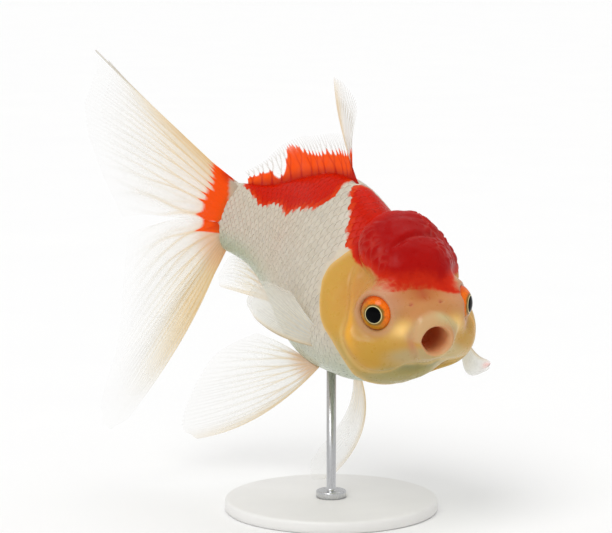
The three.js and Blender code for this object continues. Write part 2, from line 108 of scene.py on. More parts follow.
# -------- fins
# Each ray: distance behind the mouth, angle on the body, the point that bends it, its tip,
# both from its root as (back, left, up).
ROOT_SINK = 1
RAYS = {
    "dorsal_fin": [
        (47, 90, (12, 0, 12), (16, 0, 24)),
        (47.8, 90, (10.5, 0, 12.5), (13, 3, 22)),
        (48.7, 90, (8, 1, 9.5), (9, 5, 17)),
        (49.8, 90, (3.5, 1, 7), (5, 1.5, 11)),
        (52, 90, (2.5, 0, 5), (7.5, 0, 10)),
        (58, 90, (3.5, 0, 4.5), (7.5, 0, 8.5)),
        (65, 90, (2, 0, 6), (7, 0, 9)),
        (72, 90, (2.5, 0, 7), (5.5, 0, 8.5)),
        (78, 90, (2, 0, 6.5), (3.5, 0, 6)),
        (84, 90, (0.5, 0, 2.6), (2.4, 0, 3.4)),
    ],
    "tail_fin_upper_right": [
        (86, 106, (22.5, -8.5, 12.8), (41, -21.5, 28)),
        (86.5, 128, (26, -11, 17), (37, -22, 26)),
        (87, 150, (24, -11.5, 13), (36.5, -24, 19)),
        (87, 165, (22, -11.5, 5), (32.5, -20, 8.5)),
        (87, 178, (17.5, -9, -1.5), (23.5, -12.5, -5.5)),
    ],
    "tail_fin_lower_right": [
        (87, 182, (16.8, -8.4, -2.4), (22, -11.6, -10.5)),
        (87, 200, (11.5, -7.5, -5.5), (16, -13, -35.5)),
        (87, 215, (6, -6.5, -14), (16, -15, -52)),
        (86.5, 235, (5, -5.5, -21), (14, -13, -58)),
        (86, 255, (0, -5, -25.7), (12.2, -10, -56)),
    ],
    "tail_fin_upper_left": [
        (86, 74, (25, 1, 6.3), (53.3, 8, 17.1)),
        (86.5, 52, (25.7, 1.5, 5.9), (52.8, 9, 13.7)),
        (87, 30, (29.5, 1.5, 7), (51.5, 9, 6.5)),
        (87, 15, (26, 1, 0.5), (45, 8, -1)),
        (87, 2, (24, 1.5, -5), (32, 5, -9)),
    ],
    "tail_fin_lower_left": [
        (87, -2, (23, 1.5, -6.4), (30, 5, -16.5)),
        (87, -20, (15.5, 1, -10), (27.5, 8, -41)),
        (87, -35, (8.5, 1.5, -13), (27.5, 9, -54.5)),
        (86.5, -55, (6.9, 1.5, -21), (23.5, 9, -58.7)),
        (86, -75, (6.3, 1, -29.2), (19.7, 8, -54.9)),
    ],
    "anal_fin_right": [
        (65, 256, (13, 0.5, -2), (20.5, -1, -2.8)),
        (68, 256, (12.7, 0.5, 2.9), (17.5, -1, -0.9)),
        (71, 257, (10.3, 0, 7.8), (13.5, 0, 1.4)),
    ],
    "pectoral_fin_right": [
        (21.5, 192, (22, -5, -5), (24.7, -10.5, 3.1)),
        (21.2, 188.5, (20.8, -5.5, -1), (26, -10.5, 5.1)),
        (20.8, 185, (17, -5, 3.4), (23.3, -8.5, 9.5)),
        (20.4, 181.5, (9.9, -3, 3.8), (12, -5, 10.1)),
    ],
    "pectoral_fin_left": [
        (21.5, -12, (12.5, 11, -13.6), (16.4, 18, -15.6)),
        (21.2, -8.5, (14.1, 9.5, -18.8), (16.2, 17.5, -17.2)),
        (20.8, -5, (15.9, 8, -23.3), (15.5, 16.5, -18.8)),
        (20.4, -1.5, (17.6, 6.5, -26.3), (14.8, 15, -20.3)),
    ],
    "pelvic_fin_right": [
        (41, 242, (12, -9, -23.5), (30.5, -18, -32)),
        (41.6, 240, (7, -8.5, -12.5), (31, -19, -27)),
        (42.4, 238, (10.5, -9, -6), (26.5, -18, -15)),
        (43.2, 236, (8, -7.5, 0.5), (22.5, -13, -5)),
        (44, 234, (7, -4, 3.2), (13.8, -8, 3)),
    ],
    "pelvic_fin_left": [
        (43.9, 286, (-7.3, 9, -18.5), (-1.6, -6, -34.5)),
        (44.05, 285.7, (-5.2, 8.5, -18.3), (3.1, -6, -35.3)),
        (44.2, 285.4, (-3.3, 7.5, -17.6), (5.3, -5, -32.4)),
        (44.35, 285.1, (-1.8, 6.5, -15.9), (5.6, -3, -28.9)),
        (44.5, 284.8, (-1.4, 4, -12.7), (3, -1, -22.8)),
    ],
}
RAYS["anal_fin_left"] = [(u, 180 - a, (b[0], -b[1], b[2]), (e[0], -e[1], e[2]))
                         for u, a, b, e in RAYS["anal_fin_right"]]

# -------- markings
# Outlines of the red patches: distance behind the mouth, angle on the body.
SADDLE_PATCH = [(49.3, 90), (49.4, 105), (48.7, 114), (48.6, 122), (49.8, 128), (52.6, 134), (56.1, 137),
                (60.5, 140), (63.5, 145), (66.7, 142.5), (69.8, 138), (73.0, 138), (75.2, 143), (78.6, 134),
                (81.8, 121), (84.8, 108), (85.6, 90), (84, 74), (80, 60), (75, 50), (70, 46), (64, 38),
                (58, 43), (53, 54), (50.4, 68)]
NAPE_PATCH = [(24, 122), (30, 125.5), (33.0, 129), (34.6, 128.5), (36, 126), (38, 122.5), (40.2, 118.5),
              (42.3, 113.8), (44.8, 109), (46.4, 102), (46.8, 94), (46.6, 86), (45.2, 74), (41, 60),
              (36, 52), (31, 50), (26, 50), (22, 60), (20, 90), (22, 120)]
CAP_PATCH = [(34, 124), (31, 125), (27.5, 126.5), (24, 124.5), (21, 122), (19.3, 122), (17.1, 121),
             (15.3, 121), (13.2, 120), (11.8, 117), (10.5, 114), (9.4, 110.5), (8.7, 105.5), (8.2, 98),
             (8.0, 90), (7.9, 81), (7.8, 75), (7.5, 69.5), (8.0, 65), (9.1, 59.8), (12, 52), (16, 45),
             (19, 41), (23, 41), (27, 46), (31, 52), (34, 58)]
ANGLE_MM = 0.34                       # millimetres to a degree near the ridge
OUTSIDE = -5                          # depth in a patch that stands for well outside it
RED_FROM = 20                         # behind the mouth, where the trunk's patches may begin


def srgb(red, green, blue):
    """A colour given as it looks, from 0 to 255, as the linear values that a shader takes."""
    return np.array([((c / 255 + 0.055) / 1.055) ** 2.4 if c > 10 else c / 3294.6
                     for c in (red, green, blue)])


PEARL = srgb(212, 200, 180)
BELLY = srgb(188, 194, 168)
RED = srgb(208, 26, 0)
RED_EDGE = srgb(226, 62, 12)
FIN_ORANGE = srgb(255, 104, 6)
CAP_RED = srgb(164, 8, 6)
CAP_LIGHT = srgb(192, 28, 16)
# painted pale pink highlight for the cap's seams, rim and furrow
CAP_HIGHLIGHT = srgb(206, 84, 72)
CAP_EDGE = srgb(204, 44, 16)
CHEEK = srgb(200, 152, 72)
CHEEK_GOLD = srgb(194, 148, 50)
CHEEK_BAND = srgb(232, 168, 52)
CHEEK_PINK = srgb(198, 136, 62)
GILL_COVER = srgb(200, 154, 64)
GILL_PALE = srgb(220, 184, 118)
GILL_LOW = srgb(172, 149, 80)
FOREHEAD = srgb(176, 78, 28)
BROW_PINK = srgb(208, 146, 106)
MUZZLE = srgb(194, 132, 78)
BUMP_YELLOW = srgb(248, 206, 126)
# painted highlight on the raised fold above and behind each eye
EYE_RING = srgb(190, 140, 106)
FOLD_HIGHLIGHT = srgb(222, 190, 168)
LIP_PINK = srgb(202, 164, 116)
LIP_GREEN = srgb(200, 180, 130)
LIP_CORNER = srgb(196, 134, 92)
CHIN = srgb(184, 160, 110)
# olive of the head's underside, darkened as painted shade
THROAT_SHADE = srgb(160, 146, 86)
JAW_SHADE = srgb(132, 132, 88)
NOSTRIL_RED = srgb(184, 92, 66)
MOUTH_SIDE = srgb(196, 144, 96)
MOUTH_RIM = srgb(208, 158, 112)
MOUTH_WALL = srgb(244, 184, 130)
MOUTH_DEEP = srgb(206, 112, 66)
MEMBRANE = srgb(250, 249, 245)
RAY_CREAM = srgb(246, 228, 196)
LEAD_CREAM = srgb(240, 214, 158)
ROOT_PEACH = srgb(242, 204, 168)
RAY_SHADE = srgb(226, 224, 212)
PECTORAL_GREY = srgb(222, 221, 210)
RAY_DARK = srgb(190, 178, 156)


# ======== curves, frames and noise
def smooth(xs, ys, x):
    """A smooth curve through a few points at unequal steps."""
    xs = np.asarray(xs, float)
    ys = np.asarray(ys, float)
    x = np.clip(x, xs[0], xs[-1])
    slopes = np.gradient(ys, xs)
    i = np.clip(np.searchsorted(xs, x, side="right") - 1, 0, len(xs) - 2)
    h = xs[i + 1] - xs[i]
    t = (x - xs[i]) / h
    return ((1 + 2 * t) * (1 - t) ** 2 * ys[i] + t * (1 - t) ** 2 * h * slopes[i]
            + t * t * (3 - 2 * t) * ys[i + 1] + t * t * (t - 1) * h * slopes[i + 1])


def ease(low, high, x):
    """0 up to low, 1 from high on, smooth between."""
    t = np.clip((x - low) / (high - low), 0, 1)
    return t * t * (3 - 2 * t)


def bell(x, width):
    return np.exp(-(x / width) ** 2)


def unit(v):
    return v / np.maximum(np.linalg.norm(v, axis=-1, keepdims=True), 1e-9)


def column(v):
    return np.asarray(v)[..., None]


def make_spine():
    """The spine runs backward from the mouth: its places and its three directions."""
    u = np.arange(SPINE_FROM, SPINE_TO + SPINE_STEP / 2, SPINE_STEP)
    yaw = smooth(*zip(*TURN), u) * RAD
    lift = smooth(*zip(*PITCH), u) * RAD
    ahead = np.stack([np.cos(lift) * np.cos(yaw), np.cos(lift) * np.sin(yaw), np.sin(lift)], -1)
    level = np.stack([-np.sin(yaw), np.cos(yaw), 0 * yaw], -1)
    upright = np.cross(ahead, level)
    roll = ROLL * RAD
    left = level * math.cos(roll) + upright * math.sin(roll)
    up = upright * math.cos(roll) - level * math.sin(roll)
    places = np.zeros_like(ahead)
    places[1:] = -np.cumsum((ahead[1:] + ahead[:-1]) / 2 * SPINE_STEP, 0)
    places += np.array(PIVOT) - places[round((PIVOT_AT - SPINE_FROM) / SPINE_STEP)]
    return u, {"place": places, "ahead": ahead, "left": left, "up": up}


SPINE_U, SPINE = make_spine()


def along_spine(key, u):
    return np.stack([np.interp(u, SPINE_U, SPINE[key][:, k]) for k in range(3)], -1)


def beside(u, side, height):
    """The point so far to the left of the spine and above it."""
    u, side, height = np.broadcast_arrays(*(np.asarray(v, float) for v in (u, side, height)))
    return (along_spine("place", u) + along_spine("left", u) * column(side)
            + along_spine("up", u) * column(height))


def direction(u, back, left, up):
    return (-along_spine("ahead", u) * column(back) + along_spine("left", u) * column(left)
            + along_spine("up", u) * column(up))


def section_index(u, in_throat=False):
    """Where along the list of sections the body is u behind the mouth."""
    q = np.linspace(0, LIP, 200)[::-1] if in_throat else np.linspace(LIP, LAST, 1200)
    return np.interp(u, smooth(range(LAST + 1), SECTION_ROWS[:, 0], q), q)


def body(q, angle, grow=0.0):
    """A point of the body's surface, angle in degrees: 0 left, 90 back, 180 right, 270 belly."""
    at, up, down, half, top_pinch, belly_pinch, drop = (
        smooth(range(LAST + 1), SECTION_ROWS[:, k], q) for k in range(7))
    s = np.sin(angle * RAD)
    c = np.cos(angle * RAD)
    height = np.where(s > 0, up, down)
    pinch = np.where(s > 0, top_pinch, belly_pinch)
    return beside(at, half * c * (1 - pinch * s * s) + grow * c, (height + grow) * s - drop * c * c)


def scatter(cell, seed):
    """Three even random numbers for each whole-number cell, the same each time."""
    cell = cell.astype(np.int64)
    mixed = (cell[..., 0] * 73856093) ^ (cell[..., 1] * 19349663) ^ (cell[..., 2] * 83492791)
    mixed = mixed ^ (seed * 2654435761)
    numbers = []
    for turn in (1, 2, 3):
        value = (mixed * (2 * turn + 1) + turn * 362437) & 0xFFFFFFFF
        for _ in range(2):
            value = ((value ^ (value >> 16)) * 0x45D9F3B) & 0xFFFFFFFF
        numbers.append((value ^ (value >> 16)) / 0xFFFFFFFF)
    return np.stack(numbers, -1)


CORNERS = np.array([(i, j, k) for i in (0, 1) for j in (0, 1) for k in (0, 1)])
NEIGHBOURS = np.array([(i, j, k) for i in (-1, 0, 1) for j in (-1, 0, 1) for k in (-1, 0, 1)])


def ripple(points, size, seed=0):
    """Smooth noise from -1 to 1, with lumps about size apart."""
    p = points / size
    base = np.floor(p)
    t = p - base
    t = t * t * (3 - 2 * t)
    total = 0
    for corner in CORNERS:
        weight = np.prod(np.where(corner == 1, t, 1 - t), -1)
        total = total + weight * (scatter(base + corner, seed)[..., 0] * 2 - 1)
    return total


def cells(points, size, seed=0):
    """Distance to the nearest scattered point and to the next one, in sizes."""
    p = points / size
    base = np.floor(p)
    near = np.full(p.shape[:-1], 9.0)
    following = near.copy()
    for step in NEIGHBOURS:
        cell = base + step
        distance = np.linalg.norm(cell + 0.15 + 0.7 * scatter(cell, seed) - p, axis=-1)
        following = np.minimum(following, np.maximum(near, distance))
        near = np.minimum(near, distance)
    return near, following


def outline_distance(outline, u, angle):
    """Distance in millimetres to an outline on the body, positive inside."""
    corners = np.array(outline, float) * (1, ANGLE_MM)
    x = u
    y = angle * ANGLE_MM
    nearest = np.full(np.shape(u), 1e9)
    inside = np.zeros(np.shape(u), bool)
    for (x0, y0), (x1, y1) in zip(corners, np.roll(corners, -1, 0)):
        t = np.clip(((x - x0) * (x1 - x0) + (y - y0) * (y1 - y0)) / ((x1 - x0) ** 2 + (y1 - y0) ** 2), 0, 1)
        nearest = np.minimum(nearest, np.hypot(x - x0 - t * (x1 - x0), y - y0 - t * (y1 - y0)))
        crosses = ((y0 > y) != (y1 > y)) & (x < (x1 - x0) * (y - y0) / (y1 - y0 if y1 != y0 else 1e-9) + x0)
        inside ^= crosses
    return np.where(inside, nearest, -nearest)


# ======== making objects
def new_object(name, points, faces, material, replaced=(), point_values=None, uv=None):
    """A smooth mesh piece from points in millimetres and four-cornered faces.

    point_values are kept as attributes of the points, as numbers or as colours.
    """
    points = np.asarray(points, np.float32).reshape(-1, 3) * MM
    faces = np.asarray(faces, np.int32)
    mesh = bpy.data.meshes.new(name)
    mesh.vertices.add(len(points))
    mesh.vertices.foreach_set("co", points.ravel())
    mesh.loops.add(faces.size)
    mesh.loops.foreach_set("vertex_index", faces.ravel())
    mesh.polygons.add(len(faces))
    mesh.polygons.foreach_set("loop_start", np.arange(0, faces.size, faces.shape[1], dtype=np.int32))
    mesh.polygons.foreach_set("use_smooth", np.full(len(faces), True))
    mesh.update(calc_edges=True)
    mesh.validate()
    for key, values in (point_values or {}).items():
        values = np.asarray(values, np.float32)
        if values.ndim > 1:
            layer = mesh.attributes.new(key, "FLOAT_COLOR", "POINT")
            layer.data.foreach_set("color", np.concatenate([values, np.ones((len(values), 1))], 1)
                                   .astype(np.float32).ravel())
        else:
            mesh.attributes.new(key, "FLOAT", "POINT").data.foreach_set("value", values)
    if uv is not None:
        mesh.uv_layers.new(name="OFBake").data.foreach_set("uv", np.asarray(uv, np.float32).ravel())
    mesh.materials.append(material)
    piece = bpy.data.objects.new(name, mesh)
    bpy.context.scene.collection.objects.link(piece)
    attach(piece, "root")
    if replaced:
        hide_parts(*replaced)
    return piece


def grid_faces(rows, columns, wrap=False, start=0):
    """Faces of a grid of points, rows by columns, closed round if wrap."""
    i = np.arange(rows - 1)[:, None]
    j = np.arange(columns if wrap else columns - 1)[None, :]
    following = (j + 1) % columns
    a = i * columns + j
    b = i * columns + following
    return np.stack([a, b, b + columns, a + columns], -1).reshape(-1, 4) + start


# ======== materials
class Shader:
    """A node material: add() makes a node, and inputs are values, colours or other nodes' outputs."""

    def __init__(self, name):
        self.material = bpy.data.materials.new(name)
        self.material.use_nodes = True
        self.tree = self.material.node_tree
        self.tree.nodes.clear()
        self.output = self.tree.nodes.new("ShaderNodeOutputMaterial")

    def set(self, node, key, value):
        socket = node.inputs[key]
        if isinstance(value, bpy.types.NodeSocket):
            self.tree.links.new(value, socket)
        elif hasattr(value, "__len__") and len(value) == 3 and socket.type == "RGBA":
            socket.default_value = (*value, 1)
        else:
            socket.default_value = value

    def add(self, kind, settings=None, out=0, **inputs):
        node = self.tree.nodes.new(kind)
        for key, value in (settings or {}).items():
            setattr(node, key, value)
        for key, value in inputs.items():
            self.set(node, int(key[1:]) if key[0] == "_" else key.replace("_", " "), value)
        return node.outputs[out]

    def value(self, name):
        return self.add("ShaderNodeAttribute", {"attribute_name": name}, out="Fac")

    def colour(self, name):
        return self.add("ShaderNodeAttribute", {"attribute_name": name}, out="Color")

    def maths(self, operation, a, b=0.0):
        return self.add("ShaderNodeMath", {"operation": operation}, _0=a, _1=b)

    def between(self, x, low, high, to_low=0.0, to_high=1.0):
        return self.add("ShaderNodeMapRange", {"interpolation_type": "SMOOTHSTEP"}, _0=x, _1=low, _2=high,
                        _3=to_low, _4=to_high)

    def mix(self, share, a, b, blend="MIX"):
        node = self.tree.nodes.new("ShaderNodeMix")
        node.data_type = "RGBA"
        node.blend_type = blend
        self.set(node, 0, share)
        self.set(node, 6, a)
        self.set(node, 7, b)
        return node.outputs[2]

    def place(self):
        return self.add("ShaderNodeTexCoord", out="Object")

    def noise(self, size_mm, detail=3.0, rough=0.5):
        return self.add("ShaderNodeTexNoise", Vector=self.place(), Scale=1 / (size_mm * MM), Detail=detail,
                        Roughness=rough)

    def cells(self, size_mm, feature="F1"):
        return self.add("ShaderNodeTexVoronoi", {"feature": feature}, Vector=self.place(),
                        Scale=1 / (size_mm * MM))

    def bump(self, height, depth_mm, strength=1.0):
        return self.add("ShaderNodeBump", Height=height, Distance=depth_mm * MM, Strength=strength)

    def finish(self, surface):
        self.tree.links.new(surface, self.output.inputs["Surface"])
        return self.material


def flesh_scatter(node_inputs, weight):
    node_inputs.update({"Subsurface_Weight": weight, "Subsurface_Radius": (0.0022, 0.0011, 0.0006),
                        "Subsurface_Scale": 1.0})
    return node_inputs


def skin_material():
    """Bare skin: its colour is painted on the points, and red patches end in a fine ragged line."""
    m = Shader("wet_skin")
    ragged = m.maths("MULTIPLY", m.maths("SUBTRACT", m.noise(1.3, 1), 0.5), 0.7)
    red = m.between(m.maths("ADD", m.value("red"), ragged), -0.2, 0.3)
    within = m.maths("ADD", m.value("cap"), ragged)
    cap = m.between(within, -0.75, 0.1)
    patches = m.mix(m.between(m.value("red"), 0.0, 1.5), tuple(RED_EDGE), tuple(RED))
    base = m.mix(red, m.colour("paint"), patches)
    base = m.mix(cap, base, m.mix(m.between(within, -0.4, 1.6), tuple(CAP_EDGE), m.colour("cap_paint")))
    mottle = m.between(m.noise(2.6, 2), 0.2, 0.8)
    base = m.mix(m.maths("MULTIPLY", mottle, 0.16), base, (0.88, 0.82, 0.72), "MULTIPLY")
    pores = m.bump(m.noise(0.9, 1), 0.03, 0.5)
    wet = m.maths("MAXIMUM", red, cap)
    gloss = m.between(wet, 0.0, 1.0, 0.28, 0.07)
    shine = m.between(m.noise(1.8, 2), 0.3, 0.7, 0.26, 0.42)
    return m.finish(m.add("ShaderNodeBsdfPrincipled", **flesh_scatter({
        "Base_Color": base, "Roughness": shine, "Normal": pores, "Specular_IOR_Level": gloss,
    }, 0.22)))


def scale_material():
    """Pearly scales with red patches; the darkening differs from scale to scale and is lifted at each scale's
    rear rim as a painted highlight.
    """
    m = Shader("pearly_scales")
    ragged = m.maths("MULTIPLY", m.maths("SUBTRACT", m.noise(0.8, 2), 0.5), 0.7)
    red = m.between(m.maths("ADD", m.value("red"), ragged), -0.35, 0.35)
    # darkening share: random from scale to scale, lower at the rear rim, where the lighter rim is a painted
    # highlight
    tone_and_rim_highlight = m.value("tone_and_rim_highlight")
    pearl = m.mix(tone_and_rim_highlight, m.colour("paint"), (0.86, 0.85, 0.83), "MULTIPLY")
    reds = m.mix(m.between(m.value("red"), 0.0, 2.4), tuple(RED_EDGE), tuple(RED))
    reds = m.mix(tone_and_rim_highlight, reds, (0.90, 0.78, 0.72), "MULTIPLY")
    base = m.mix(red, pearl, reds)
    lines = m.noise(0.35, 2)
    base = m.mix(m.maths("MULTIPLY", lines, 0.12), base, (0.82, 0.81, 0.78), "MULTIPLY")
    shine = m.between(m.noise(1.1, 2), 0.3, 0.7, 0.24, 0.40)
    return m.finish(m.add("ShaderNodeBsdfPrincipled", **flesh_scatter({
        "Base_Color": base, "Roughness": shine, "Normal": m.bump(lines, 0.03, 0.4),
        "Specular_IOR_Level": m.between(red, 0.0, 1.0, 0.5, 0.08),
    }, 0.12)))


def fin_material():
    """A thin rayed membrane: light comes through it, and it thins to clear at its margin. It also glows
    faintly in its own colour, a painted glow for light shining through it.
    """
    m = Shader("fin_membrane")
    streak = m.noise(0.7, 3)
    base = m.mix(m.maths("MULTIPLY", streak, 0.06), m.colour("paint"), (0.88, 0.87, 0.84), "MULTIPLY")
    cover = m.maths("MULTIPLY", m.value("cover"), m.between(m.noise(2.2, 2), 0.2, 0.8, 0.9, 1.0))
    # the faint emission in the membrane's own colour is a painted glow for light shining through from behind
    front = m.add("ShaderNodeBsdfPrincipled", Base_Color=base, Roughness=0.42, Specular_IOR_Level=0.2,
                  Normal=m.bump(streak, 0.03, 0.4), Emission_Color=base, Emission_Strength=0.05)
    through = m.add("ShaderNodeBsdfTranslucent", Color=base)
    leaf = m.add("ShaderNodeMixShader", _0=0.45, _1=front, _2=through)
    clear = m.add("ShaderNodeBsdfTransparent", Color=(1.0, 1.0, 1.0))
    return m.finish(m.add("ShaderNodeMixShader", _0=cover, _1=clear, _2=leaf))


def eye_material():
    """Pupil, thin pale ring, iris, and dark rim; iris and rim turn from gold and brown to bright orange above
    and ahead, partly their own colour and partly a painted highlight.

    They follow each other by distance from the pupil's middle.
    """
    m = Shader("eye_ball")
    r = m.value("radius")
    wobble = m.maths("MULTIPLY", m.maths("SUBTRACT", m.noise(0.8, 3), 0.5), 0.6)
    spread = m.maths("ADD", r, wobble)
    rays = m.between(m.noise(0.5, 3), 0.35, 0.7)
    # glow: 1 toward the upper front, where iris and rim turn bright orange, partly their own colour and
    # partly a painted highlight
    glow = m.between(m.value("glow"), 0.2, 0.9)
    iris = m.mix(glow, tuple(srgb(186, 124, 22)), tuple(srgb(246, 116, 6)))
    iris = m.mix(m.maths("MULTIPLY", rays, 0.5), iris, (0.62, 0.50, 0.42), "MULTIPLY")
    iris = m.mix(m.between(spread, 2.45, 3.0), tuple(srgb(124, 94, 30)), iris)
    rim = m.mix(glow, tuple(srgb(140, 58, 20)), tuple(srgb(214, 84, 14)))
    iris = m.mix(m.between(spread, 3.4, 4.3), iris, rim)
    ring = m.mix(m.between(r, 2.14, 2.34), tuple(srgb(222, 208, 154)), iris)
    base = m.mix(m.between(r, 2.0, 2.12), tuple(srgb(3, 3, 4)), ring)
    shine = m.between(m.noise(2.0, 2), 0.2, 0.8, 0.08, 0.14)
    return m.finish(m.add("ShaderNodeBsdfPrincipled", Base_Color=base, Roughness=shine,
                          Specular_IOR_Level=m.between(r, 1.9, 2.4, 0.05, 0.2)))


def base_material():
    m = Shader("stand_lacquer")
    base = m.mix(m.noise(6, 4), (0.83, 0.82, 0.80), (0.88, 0.87, 0.85))
    shine = m.between(m.noise(3, 3), 0.3, 0.7, 0.36, 0.48)
    return m.finish(m.add("ShaderNodeBsdfPrincipled", Base_Color=base, Roughness=shine,
                          Normal=m.bump(m.noise(0.5, 2), 0.02, 0.4)))


def rod_material():
    m = Shader("stand_steel")
    stretch = m.add("ShaderNodeMapping", Vector=m.place(), Scale=(1.0, 1.0, 0.03))
    brushed = m.add("ShaderNodeTexNoise", Vector=stretch, Scale=9000.0, Detail=2.0)
    grey = m.mix(brushed, (0.55, 0.56, 0.57), (0.70, 0.70, 0.71))
    return m.finish(m.add("ShaderNodeBsdfPrincipled", Base_Color=grey, Metallic=1.0,
                          Roughness=m.between(brushed, 0.3, 0.7, 0.24, 0.38),
                          Normal=m.bump(brushed, 0.02, 0.3)))


SKIN = skin_material()
SCALES = scale_material()
FIN = fin_material()
EYEBALL = eye_material()
LACQUER = base_material()
STEEL = rod_material()


# ======== the skin's relief
def line_at(line, angle):
    """How far behind the mouth a line of the head is at these angles, on either side."""
    return smooth(*zip(*line), right_side(angle))


def right_side(angle):
    """The same place's angle as if it were on the right side."""
    return np.where((angle > 90) & (angle <= 270), angle, 180 - angle) % 360


def spot(u, angle, at, middle, width, spread):
    """1 at a place of the body, fading round it."""
    return np.exp(-((u - at) / width) ** 2 - ((angle - middle) / spread) ** 2)


def swell(u, angle, swelling):
    """A swelling's height at a place."""
    height, *place = swelling
    return height * spot(u, angle, *place)


CAP_TRIM = 0.5                        # of the solid cap's height, which the lumps fill

# Swellings and hollows: height, distance behind the mouth, angle, and how far each way they reach.
CAP_SPOTS = {"rear": (-1.2, 28.5, 95, 6, 18), "left_rear": (0.5, 26.5, 66, 5, 12),
             "left": (-0.3, 20, 60, 6, 12), "left_front": (-2.0, 12, 44, 6, 10)}
LEFT_TRIMS = {"cheek": (1.1, 11.5, 10, 6, 24), "lower_cheek": (1.6, 13.5, -58, 9, 18),
              "brow": (1.3, 12.5, 42, 4, 10), "upper_brow": (0.7, 10, 53, 3.5, 9)}
THROAT_TRIM = (1.5, 19, -66, 12, 20)
NAPE_TRIM = (0.8, 41, 90, 9, 16)


def cap_rise(u, angle, points):
    """The cap's height, how near its rim a place is, and the share of seams between lumps, along which a pale
    pink highlight is painted.

    A big rear dome, a front one and small lumps beside the rim.
    """
    turned = angle - WEN["angle"]
    along = u - WEN["at"]
    power = WEN["square"]
    reach = np.where(along > 0, along / WEN["rear"], -along / WEN["front"]) ** power
    reach = (reach + np.abs(turned / WEN["side"]) ** power) ** (1 / power)
    crown = WEN["round_front"] + ease(-6, 6, along) * (WEN["round_rear"] - WEN["round_front"])
    rise = (WEN["height"] - CAP_TRIM) * np.sqrt(np.clip(1 - np.clip(reach, 0, 1) ** crown, 0, 1))
    for swelling in CAP_SPOTS.values():
        rise = rise + swell(u, angle, swelling)
    furrow = bell(u - smooth(*zip(*FURROW), angle), 0.9)
    rise = rise - 0.75 * furrow * ease(112, 92, angle) * ease(0.97, 0.8, reach)
    near, following = cells(points + 1.2 * column(ripple(points, 4.0, 3)), 7.5, 11)
    rise = rise - 0.20 * ease(0.5, 0, following - near) * ease(1.0, 0.7, reach)
    near, following = cells(points + 0.3 * column(ripple(points, 1.6, 4)), 2.3, 5)
    bubbly = ease(104, 113, right_side(angle)) * ease(11, 15, u) * ease(33, 29, u)
    bubbly = bubbly * ease(1.0, 0.86, reach) * (1 - spot(u, angle, 13, 47, 5, 9))
    seam = ease(0.30, 0, following - near) * bubbly
    rise = rise + 0.25 * bubbly * ease(1.05, 0.95, reach) - 0.40 * seam
    return np.where(reach < 1, np.maximum(rise, 0), 0), reach, seam


def trunk_fit(u, angle):
    """Small trims of the trunk: a straighter nape, a flatter breast and a slimmer left throat."""
    side = right_side(angle)
    nape = swell(u, side, NAPE_TRIM)
    breast = 1.1 * bell(u - 34, 13) * ease(205, 228, side)
    return -nape - breast - throat_trim(u, angle)


def turned_down(angle):
    """The left side's angles with those of its belly below zero."""
    return np.where(angle > 180, angle - 360, angle)


def throat_trim(u, angle):
    """The head's turn to the right draws the left of the throat in."""
    return swell(u, turned_down(angle), THROAT_TRIM)


def left_trim(u, angle):
    """What the head's turn takes off the left of the face: cheek, lower cheek and brow."""
    return sum(swell(u, angle, trim) for trim in LEFT_TRIMS.values())


def face_relief(u, angle):
    """Folds and swellings of the face, in millimetres."""
    side = right_side(angle)
    cheek = u - line_at(CHEEK_LINE, angle)
    on_cheek = ease(122, 134, side)
    rise = (0.30 * bell(cheek + 2.4, 2.0) - 0.30 * bell(cheek, 0.7)) * on_cheek
    lip = u - line_at(LIP_FOLD, angle)
    rise = rise - bell(lip, 0.5) * (0.12 + 0.30 * ease(110, 145, side) * ease(262, 240, side))
    stretched = ease(-95, -75, turned_down(angle)) * (angle != side)
    rise = rise - 1.15 * bell(u - JAW_FOLD, 1.15) * ease(234, 252, side) * (1 - stretched)
    rise = rise + 0.35 * bell(u - 10, 2.6) * ease(234, 250, side)
    rise = rise + 0.65 * spot(u, side, 2.9, 163, 1.7, 17) + 0.30 * spot(u, side, 10.8, 137, 1.3, 12)
    rise = rise - 0.25 * spot(u, side, 7.4, 114, 1.0, 5)
    return rise - left_trim(u, angle)


def relief(u, angle, outside, points):
    """How far the skin stands over the body's sections, with what the paint needs to know of it."""
    rise, reach, seam = cap_rise(u, angle, points)
    ahead = line_at(GILL_EDGE, angle) - u
    trunk = ease(0.35, -0.15, ahead)
    plate = PLATE_RISE * ease(-0.15, 0.5, ahead) * ease(12, 5, ahead)
    grow = rise + plate + (trunk_fit(u, angle) - SKIN_DEPTH) * trunk - throat_trim(u, angle) * (1 - trunk)
    return np.where(outside, grow, 0), reach, seam, ahead


def eye_axes(side):
    """An eye's middle and the way it looks."""
    centre = beside(EYE["at"], side * EYE["out"], EYE["up"])
    look = direction(EYE["at"], -math.cos(EYE["look"] * RAD), side * math.sin(EYE["look"] * RAD), 0.05)
    return centre, unit(look)


def eye_offset(points, side):
    """Distance of points from an eye's axis, and along it."""
    centre, look = eye_axes(side)
    offset = points - centre
    depth = offset @ look
    return np.linalg.norm(offset - column(depth) * look, axis=-1), depth


EYE_OPENING = 4.2
LID_LEVEL = 1.0


def lid(points, side):
    """Draws the skin up to a raised rim round an eye, and down behind the eyeball inside it."""
    across, depth = eye_offset(points, side)
    target = LID_LEVEL + 0.22 * bell(across - EYE_OPENING - 1.0, 0.8)
    target = target - 1.9 * ease(EYE_OPENING + 0.6, EYE_OPENING - 1.6, across)
    away = (points - eye_axes(side)[0]) / column(np.maximum(across, 0.1))
    ahead = away @ direction(EYE["at"], -1, 0, 0)
    if side > 0:
        target = target - 0.9 * ease(0.2, 0.9, away[..., 2]) + 0.6 * ease(0.1, 0.6, ahead)
    hold = np.where(across < EYE_OPENING + 0.8, 1, bell(across - EYE_OPENING - 0.8, 1.7))
    hold = hold * ease(-9, -5.5, depth)
    return points + column((target - depth) * hold) * eye_axes(side)[1]


